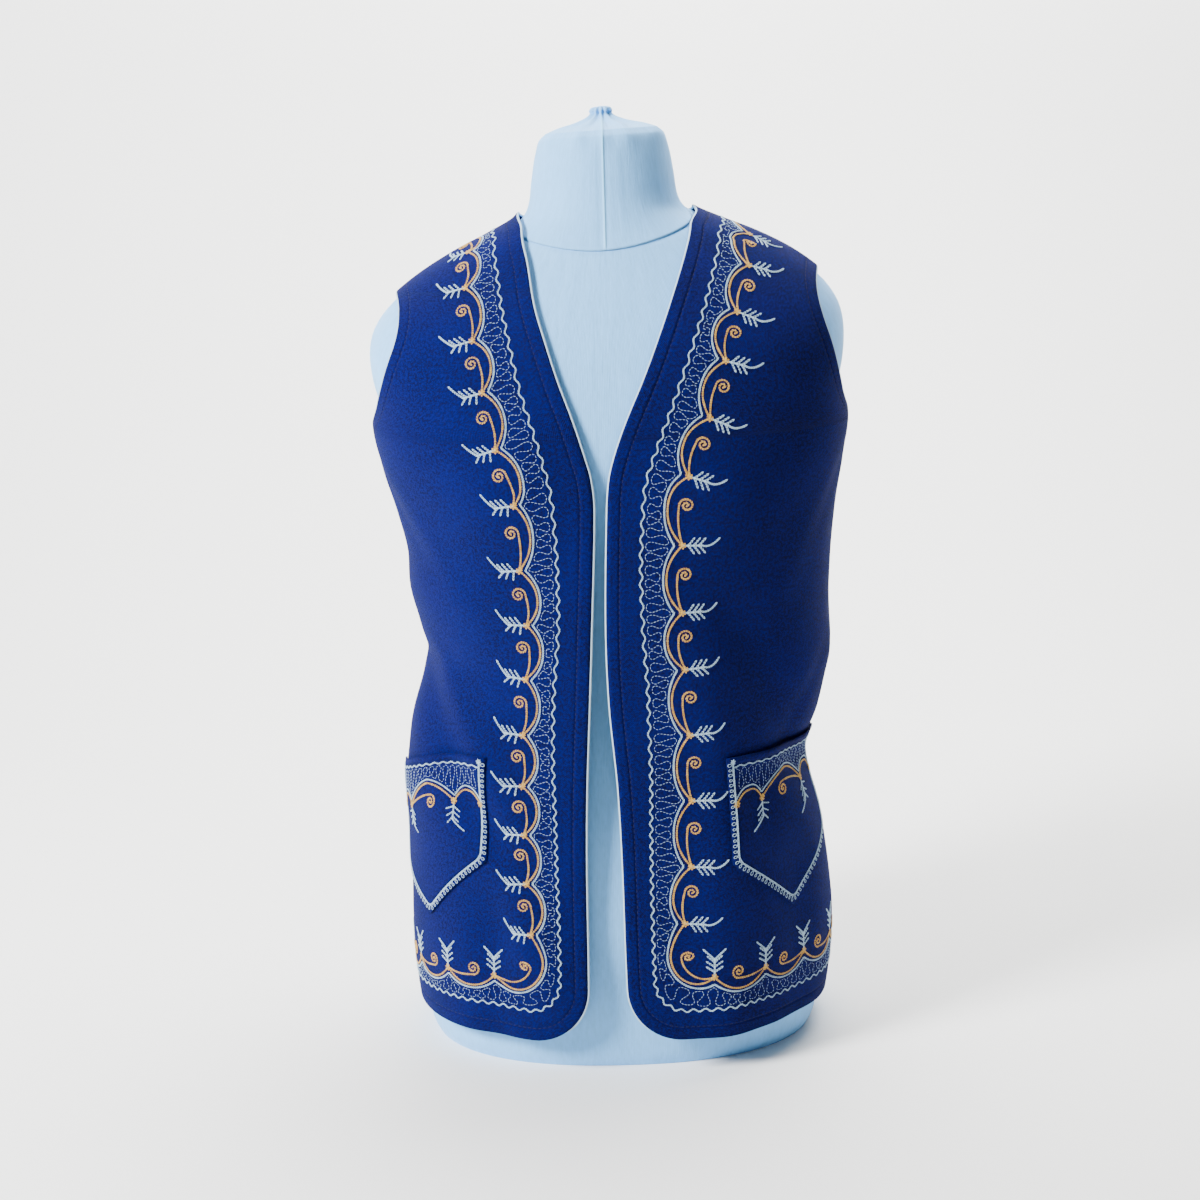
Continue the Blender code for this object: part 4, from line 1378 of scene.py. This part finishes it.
def pocketOutline(inset):
    width = pocket["width"]
    shoulder = pocket["top"] - pocket["side"]
    fall = pocket["point"] / (width / 2)
    shift = inset * math.hypot(1, fall)
    corner = shoulder - fall * inset + shift
    tip = shoulder - pocket["point"] + shift
    top = pocket["top"] - 0.002
    far = width - inset
    corners = [(inset, top), (inset, corner), (width / 2, tip), (far, corner), (far, top)]
    out = []
    for a, b in zip(corners[:-1], corners[1:]):
        count = int(math.hypot(b[0] - a[0], b[1] - a[1]) / 0.0006)
        out.extend(np.linspace(a, b, count)[:-1])
    return smoothed(np.array(out), 19)


def makePocketTrim(side):
    tag = tags[side]
    width = pocket["width"]

    def line(x, y, up=lift):
        return onPocket(side, np.asarray(x) / width, np.asarray(y), pocket["thickness"] + up)

    outline = pocketOutline(pocketTrim["lineInset"])
    white = [line(outline[:, 0], outline[:, 1])]
    guide = pocketOutline(pocketTrim["loopInset"])
    along = distancesAlong(guide)
    tangents = unit(np.gradient(guide, axis=0))
    normals = np.stack([-tangents[:, 1], tangents[:, 0]], axis=-1)
    phase = np.arange(0, 2 * math.pi * along[-1] / pocketTrim["loopPitch"], 0.35)
    place = pocketTrim["loopPitch"] * phase / (2 * math.pi)
    at = columnsAt(place, along, guide)
    t = columnsAt(place, along, tangents)
    n = columnsAt(place, along, normals)
    size = pocketTrim["loopRadius"] * (1 + 0.10 * np.sin(place * 700))
    looped = at + t * (size * np.sin(phase))[:, None] + n * (size * np.cos(phase))[:, None]
    loops = [line(looped[:, 0], looped[:, 1], 0.0001)]

    start = pocketTrim["lineInset"]
    end = width - start
    x = np.arange(start + 0.001, end - 0.001, 0.0006)
    mouth = pocket["top"] - pocketTrim["wavyBelow"]
    wavy = [line(x, mouth + 0.0006 * np.sin(2 * math.pi * x / 0.0085))]
    cuspLine = pocket["top"] - pocketTrim["cuspBelow"]
    knot = pocketTrim["knot"]
    cusps = pocketTrim["cusps"]
    widths = np.diff(cusps)
    size = np.interp(x, np.array(cusps[:-1]) + widths / 2, np.minimum(1.0, widths / 0.048))
    rise = bulge(cusps, x) * size
    white.append(line(x, cuspLine + pocketTrim["bulge"] * rise))
    gold = [line(x, cuspLine - knot + pocketTrim["goldDepth"] * rise)]
    fern = []
    for c in cusps[1:-1]:
        for stroke in sprigStrokes(right):
            fern.append(line(c + stroke[:, 0], cuspLine - knot - stroke[:, 1]))
    for c in cusps:
        for stroke in knotStrokes():
            px = np.clip(c + stroke[:, 0], 0.003, width - 0.003)
            gold.append(line(px, cuspLine - knot + stroke[:, 1], lift + knotLift))
    for stroke in knotStrokes(0.0013):
        white.append(line(start + stroke[:, 0], pocket["top"] - 0.003 + stroke[:, 1], lift + 0.0002))
    drawn = spiral(pocketTrim["curl"], (cusps[2] - 0.0008, knot))
    gold.append(line(drawn[:, 0], cuspLine - drawn[:, 1]))
    pitch = pocketTrim["fillPitch"]
    phase = np.arange(0, 2 * math.pi * (end - start - 0.006) / pitch, 0.13)
    px = start + 0.003 + pitch * phase / (2 * math.pi) + 0.0015 * np.sin(2 * phase)
    px = np.clip(px, start + 0.001, end - 0.001)
    bottom = cuspLine + pocketTrim["bulge"] * bulge(cusps, px) * np.interp(px, x, size) + 0.0022
    top = mouth - 0.0024
    fill = [line(px, (top + bottom) / 2 + (top - bottom) / 2 * np.cos(phase), lift * 0.6)]
    sew("pocketLines" + tag, white + wavy + fern, "wavy")
    sew("pocketLoops" + tag, loops, "loop")
    sew("pocketFilling" + tag, fill, "fill")
    sew("pocketGold" + tag, gold, "gold")


makePocketTrim(right)
makePocketTrim(left)
print("pockets embroidered")


# White edge cords, and the dark stitching that holds the turned edges.
def edgeLine(turns, heights, aside, inwardLift, closed=False):
    turns = np.array(turns, float)
    heights = np.array(heights, float)
    points, away = onCloth(turns, heights, inwardLift)
    if closed:
        around = np.concatenate([points[-2:-1], points, points[1:2]])
        tangents = unit((around[2:] - around[:-2]))
    else:
        tangents = unit(np.gradient(points, axis=0))
    outwardSide = unit(np.cross(tangents, away))
    return points + outwardSide * np.broadcast_to(aside, turns.shape)[:, None], away


edges = {"aside": {right: 0.0006, left: 0.0001}, "hemAside": -0.0006, "depth": 0.00095, "hemDepth": -0.0012}


def frontEdgePlaces(side):
    heights = rowHeights(vest["edgeRows"])
    hemTurns = side * evenTurns(side, vest["hem"], frontLimits(side, vest["hem"]), 60)[::-1]
    turns = np.concatenate([hemTurns, limitTurns(frontLimits, side, heights[1:], 0)])
    levels = np.concatenate([np.full(len(hemTurns), vest["hem"]), heights[1:]])
    return (turns[::-1], levels[::-1]) if side == left else (turns, levels)


def makeFrontEdge(side):
    turns, heights = frontEdgePlaces(side)
    onHem = 1 - smoothStep(vest["hem"] + 0.002, vest["hem"] + 0.016, heights)
    aside = edges["aside"][side] + (edges["hemAside"] - edges["aside"][side]) * onHem
    depth = edges["depth"] + (edges["hemDepth"] - edges["depth"]) * onHem
    line = edgeLine(turns, heights, aside, depth)
    sew("edge" + tags[side], [line], "edge", ["cord_front_" + tags[side].lower()])


def makeArmholeEdge(side):
    heights = rowHeights(vest["edgeRows"])
    heights = heights[isArmhole(heights)]
    front = limitTurns(frontLimits, side, heights, 1)
    back = limitTurns(backLimits, side, heights[::-1], 1)
    turns = np.concatenate([front, [side * 90.0], back, [side * vest["sideSeamTurn"]], front[:1]])
    levels = np.concatenate([heights, [vest["shoulderTip"]], heights[::-1], [vest["underarm"]], heights[:1]])
    if side == right:
        turns = turns[::-1]
        levels = levels[::-1]
    line = edgeLine(turns, levels, edges["aside"][right], edges["depth"], closed=True)
    sew("armholeEdge" + tags[side], [line], "edge", ["cord_armhole_" + tags[side].lower()])


def makeBackEdges():
    heights = rowHeights(vest["edgeRows"])
    above = heights[heights >= vest["backNeck"] - 1e-9]
    turns = [limitTurns(backLimits, right, above[::-1], 0), limitTurns(backLimits, left, above[1:], 0)]
    levels = np.concatenate([above[::-1], above[1:]])
    line = edgeLine(np.concatenate(turns), levels, edges["aside"][right], edges["depth"])
    sew("edgeNeck", [line], "edge", ["cord_back_neck"])
    hem = vest["hem"]
    turns = [evenTurns(left, hem, backLimits(left, hem), 60)[::-1]]
    turns.append(-evenTurns(right, hem, backLimits(right, hem), 60)[1:])
    turns = np.concatenate(turns)
    line = edgeLine(turns, np.full(len(turns), hem), edges["hemAside"], edges["hemDepth"])
    sew("edgeBackHem", [line], "edge", ["cord_back_hem"])


for side in (right, left):
    makeFrontEdge(side)
    makeArmholeEdge(side)
makeBackEdges()


def makeTopstitching():
    lines = []
    inset = vest["topstitch"]
    heights = rowHeights(vest["edgeRows"])
    heights = heights[isArmhole(heights)]
    for side in (right, left):
        band = Band(side, inset, vest["cornerRadius"] - inset)
        lines.append(band.line(np.arange(0.001, band.length - 0.001, 0.001), 0.0, 0.0))
        for limits, sign in ((frontLimits, side), (backLimits, -side)):
            turns = limitTurns(limits, side, heights, 1)
            t, h = offsetLine(turns, heights, np.full(len(turns), inset), sign)
            keep = np.abs(t) < 89 if limits is frontLimits else np.abs(t) > 97
            lines.append(onCloth(t[keep], h[keep], vest["thickness"]))
    turns = np.concatenate([np.linspace(97, 180, 120), np.linspace(-180, -97, 120)[1:]])
    lines.append(onCloth(turns, np.full(len(turns), vest["hem"] + inset), vest["thickness"]))
    sew("topstitching", lines, "hidden")


makeTopstitching()
print("edges made, stitch triangles", total["triangles"])


# The form: a covered body up to the neck seam, and the neck with its cover gathered on top.
def seamHeights(turns):
    rise = form["neckSeamBack"] - form["neckSeamFront"]
    return form["neckSeamFront"] + rise * (1 - np.cos(np.radians(turns))) / 2


formTurns = np.linspace(-180, 180, form["segments"] + 1)


def formGrid(heights, extra):
    turns = np.broadcast_to(formTurns, heights.shape)
    return formPoints(turns, heights, extra), np.stack([np.radians(turns) * 0.14, heights], axis=-1)


def makeTorso():
    top = seamHeights(formTurns) - form["neckSeamGap"] / 2
    baseScales = np.array([0.0005, 0.3, 0.6, 0.85, 0.97, 0.995])
    base = np.zeros((len(baseScales), len(formTurns)))
    low = np.broadcast_to(np.linspace(0.0, 0.60, 120)[1:, None], (119, len(formTurns)))
    high = 0.60 + (top - 0.60) * np.linspace(0, 1, 30)[1:, None]
    inside = np.stack([top - 0.0012, top - 0.004], axis=0)
    heights = np.concatenate([base, low, high, inside])
    extra = -0.0005 * bell(top - heights, 0.0022)
    extra[-2] = -0.0030
    extra[-1] = -0.0060
    points, uv = formGrid(heights, extra)
    points[: len(base), :, :2] *= baseScales[:, None, None]
    mesh = bakeModifiers("formTorso", gridMesh("formTorsoFace", [points], [uv]), weld)
    mesh.shade_smooth()
    mesh.set_sharp_from_angle(angle=math.radians(60))
    addMesh("formTorso", mesh, looks["formCover"], ["form_torso"])


gather = {
    "radii": [0.030, 0.0185, 0.0110, 0.0078, 0.0080, 0.0060, 0.0003],
    "heights": [0.7104, 0.7135, 0.7166, 0.7192, 0.7216, 0.7240, 0.7248],
    "centre": 0.008,
    "pleats": 11,
    "pleatDepth": 0.13,
}


# A smooth surface through rings that are stacked one above another.
def throughRings(rings, count):
    rows = []
    knots = np.linspace(0, 1, len(rings))
    for share in np.linspace(0, 1, count + 1)[1:]:
        i = min(int(np.searchsorted(knots, share, side="right") - 1), len(rings) - 2)
        u = (share - knots[i]) / (knots[i + 1] - knots[i])
        start = (rings[i + 1] - rings[max(i - 1, 0)]) / 2
        end = (rings[min(i + 2, len(rings) - 1)] - rings[i]) / 2
        row = (2 * u**3 - 3 * u**2 + 1) * rings[i] + (u**3 - 2 * u**2 + u) * start
        rows.append(row + (3 * u**2 - 2 * u**3) * rings[i + 1] + (u**3 - u**2) * end)
    return np.array(rows)


def makeNeck():
    low = seamHeights(formTurns) + form["neckSeamGap"] / 2
    inside = np.stack([low + 0.004, low + 0.0012], axis=0)
    side = low + (form["crown"] - low) * np.linspace(0, 1, 46)[:, None]
    crown = np.linspace(form["crown"], form["neckTop"], 8)[1:, None]
    heights = np.concatenate([inside, side, np.broadcast_to(crown, (7, len(formTurns)))])
    extra = 0.0004 * bell(heights - low, 0.0035)
    extra[0] = -0.0060
    extra[1] = -0.0030
    angles = np.radians(formTurns)
    pleats = np.cos(angles * gather["pleats"] + 1.3 * np.sin(angles * 3))
    extra = extra + 0.0010 * pleats * smoothStep(0.686, 0.7075, heights)
    points, uv = formGrid(heights, extra)
    rings = [points[-1]]
    for radius, height in zip(gather["radii"], gather["heights"]):
        swell = radius * (1 + gather["pleatDepth"] * pleats)
        y = gather["centre"] - swell * np.cos(angles)
        rings.append(leanOver(np.stack([swell * np.sin(angles), y, np.full(len(angles), height)], axis=-1)))
    tuft = throughRings(rings, 45)
    tuftUv = np.stack([np.broadcast_to(uv[-1, :, 0], tuft.shape[:2]), tuft[..., 2]], axis=-1)
    rough = gridMesh("formNeckFace", [np.concatenate([points, tuft])], [np.concatenate([uv, tuftUv])])
    mesh = bakeModifiers("formNeck", rough, weld)
    mesh.shade_smooth()
    addMesh("formNeck", mesh, looks["formCover"], ["form_neck"])


makeTorso()
makeNeck()
print("form made")

# Floor, light and camera.
studio = {
    "floor": 3.0,
    "wall": 1.6,
    "bend": 0.8,
    "world": 0.11,
    "lens": 62.28,
    "cameraPlace": (-0.0104, -1.6, 0.70),
    "cameraPitch": 90 - 12.5,
    "cameraRoll": -1.54,
}

# Each light's power, place, size and the point that it shines at.
lights = {
    "keyLight": (235.0, (-1.95, -1.25, 1.7), 0.8, (0.0, 0.0, 0.33)),
    "fillLight": (1.5, (1.3, -2.2, 1.0), 1.6, (0.0, 0.0, 0.33)),
    "backdropLight": (100.0, (0.35, 0.70, 1.9), 1.6, (0.1, 1.65, 0.2)),
}


def makeFloor():
    start = studio["wall"] - studio["bend"]
    profile = [(-studio["floor"], 0.0), (start, 0.0)]
    for angle in np.radians(np.linspace(0, 90, 17))[1:]:
        profile.append((start + studio["bend"] * math.sin(angle), studio["bend"] * (1 - math.cos(angle))))
    profile.append((studio["wall"], 3.5))
    xs = np.linspace(-3.5, 3.5, 8)
    grid = np.array([[(x, y, z - 0.0002) for x in xs] for y, z in profile])
    mesh = gridMesh("studioFloor", [grid], [grid[..., :2]])
    mesh.materials.append(floorMaterial("studioFloor"))
    floor = bpy.data.objects.new("studioFloor", mesh)
    collection.objects.link(floor)


def makeLight(name, power, place, size, aim):
    data = bpy.data.lights.new(name, "AREA")
    data.energy = power
    data.shape = "DISK"
    data.size = size
    made = bpy.data.objects.new(name, data)
    collection.objects.link(made)
    made.location = place
    made.rotation_euler = (Vector(aim) - Vector(place)).to_track_quat("-Z", "Y").to_euler()


makeFloor()
for name, settings in lights.items():
    makeLight(name, *settings)

world = bpy.data.worlds.new("studio")
world.use_nodes = True
background = world.node_tree.nodes["Background"]
background.inputs["Color"].default_value = (0.92, 0.95, 1.0, 1.0)
background.inputs["Strength"].default_value = studio["world"]
bpy.context.scene.world = world

cameraData = bpy.data.cameras.new("photoCamera")
cameraData.sensor_width = 36.0
cameraData.lens = studio["lens"]
camera = bpy.data.objects.new("photoCamera", cameraData)
collection.objects.link(camera)
pitch = Matrix.Rotation(math.radians(studio["cameraPitch"]), 4, "X")
roll = Matrix.Rotation(math.radians(studio["cameraRoll"]), 4, "Z")
camera.matrix_world = Matrix.Translation(studio["cameraPlace"]) @ pitch @ roll
bpy.context.scene.camera = camera

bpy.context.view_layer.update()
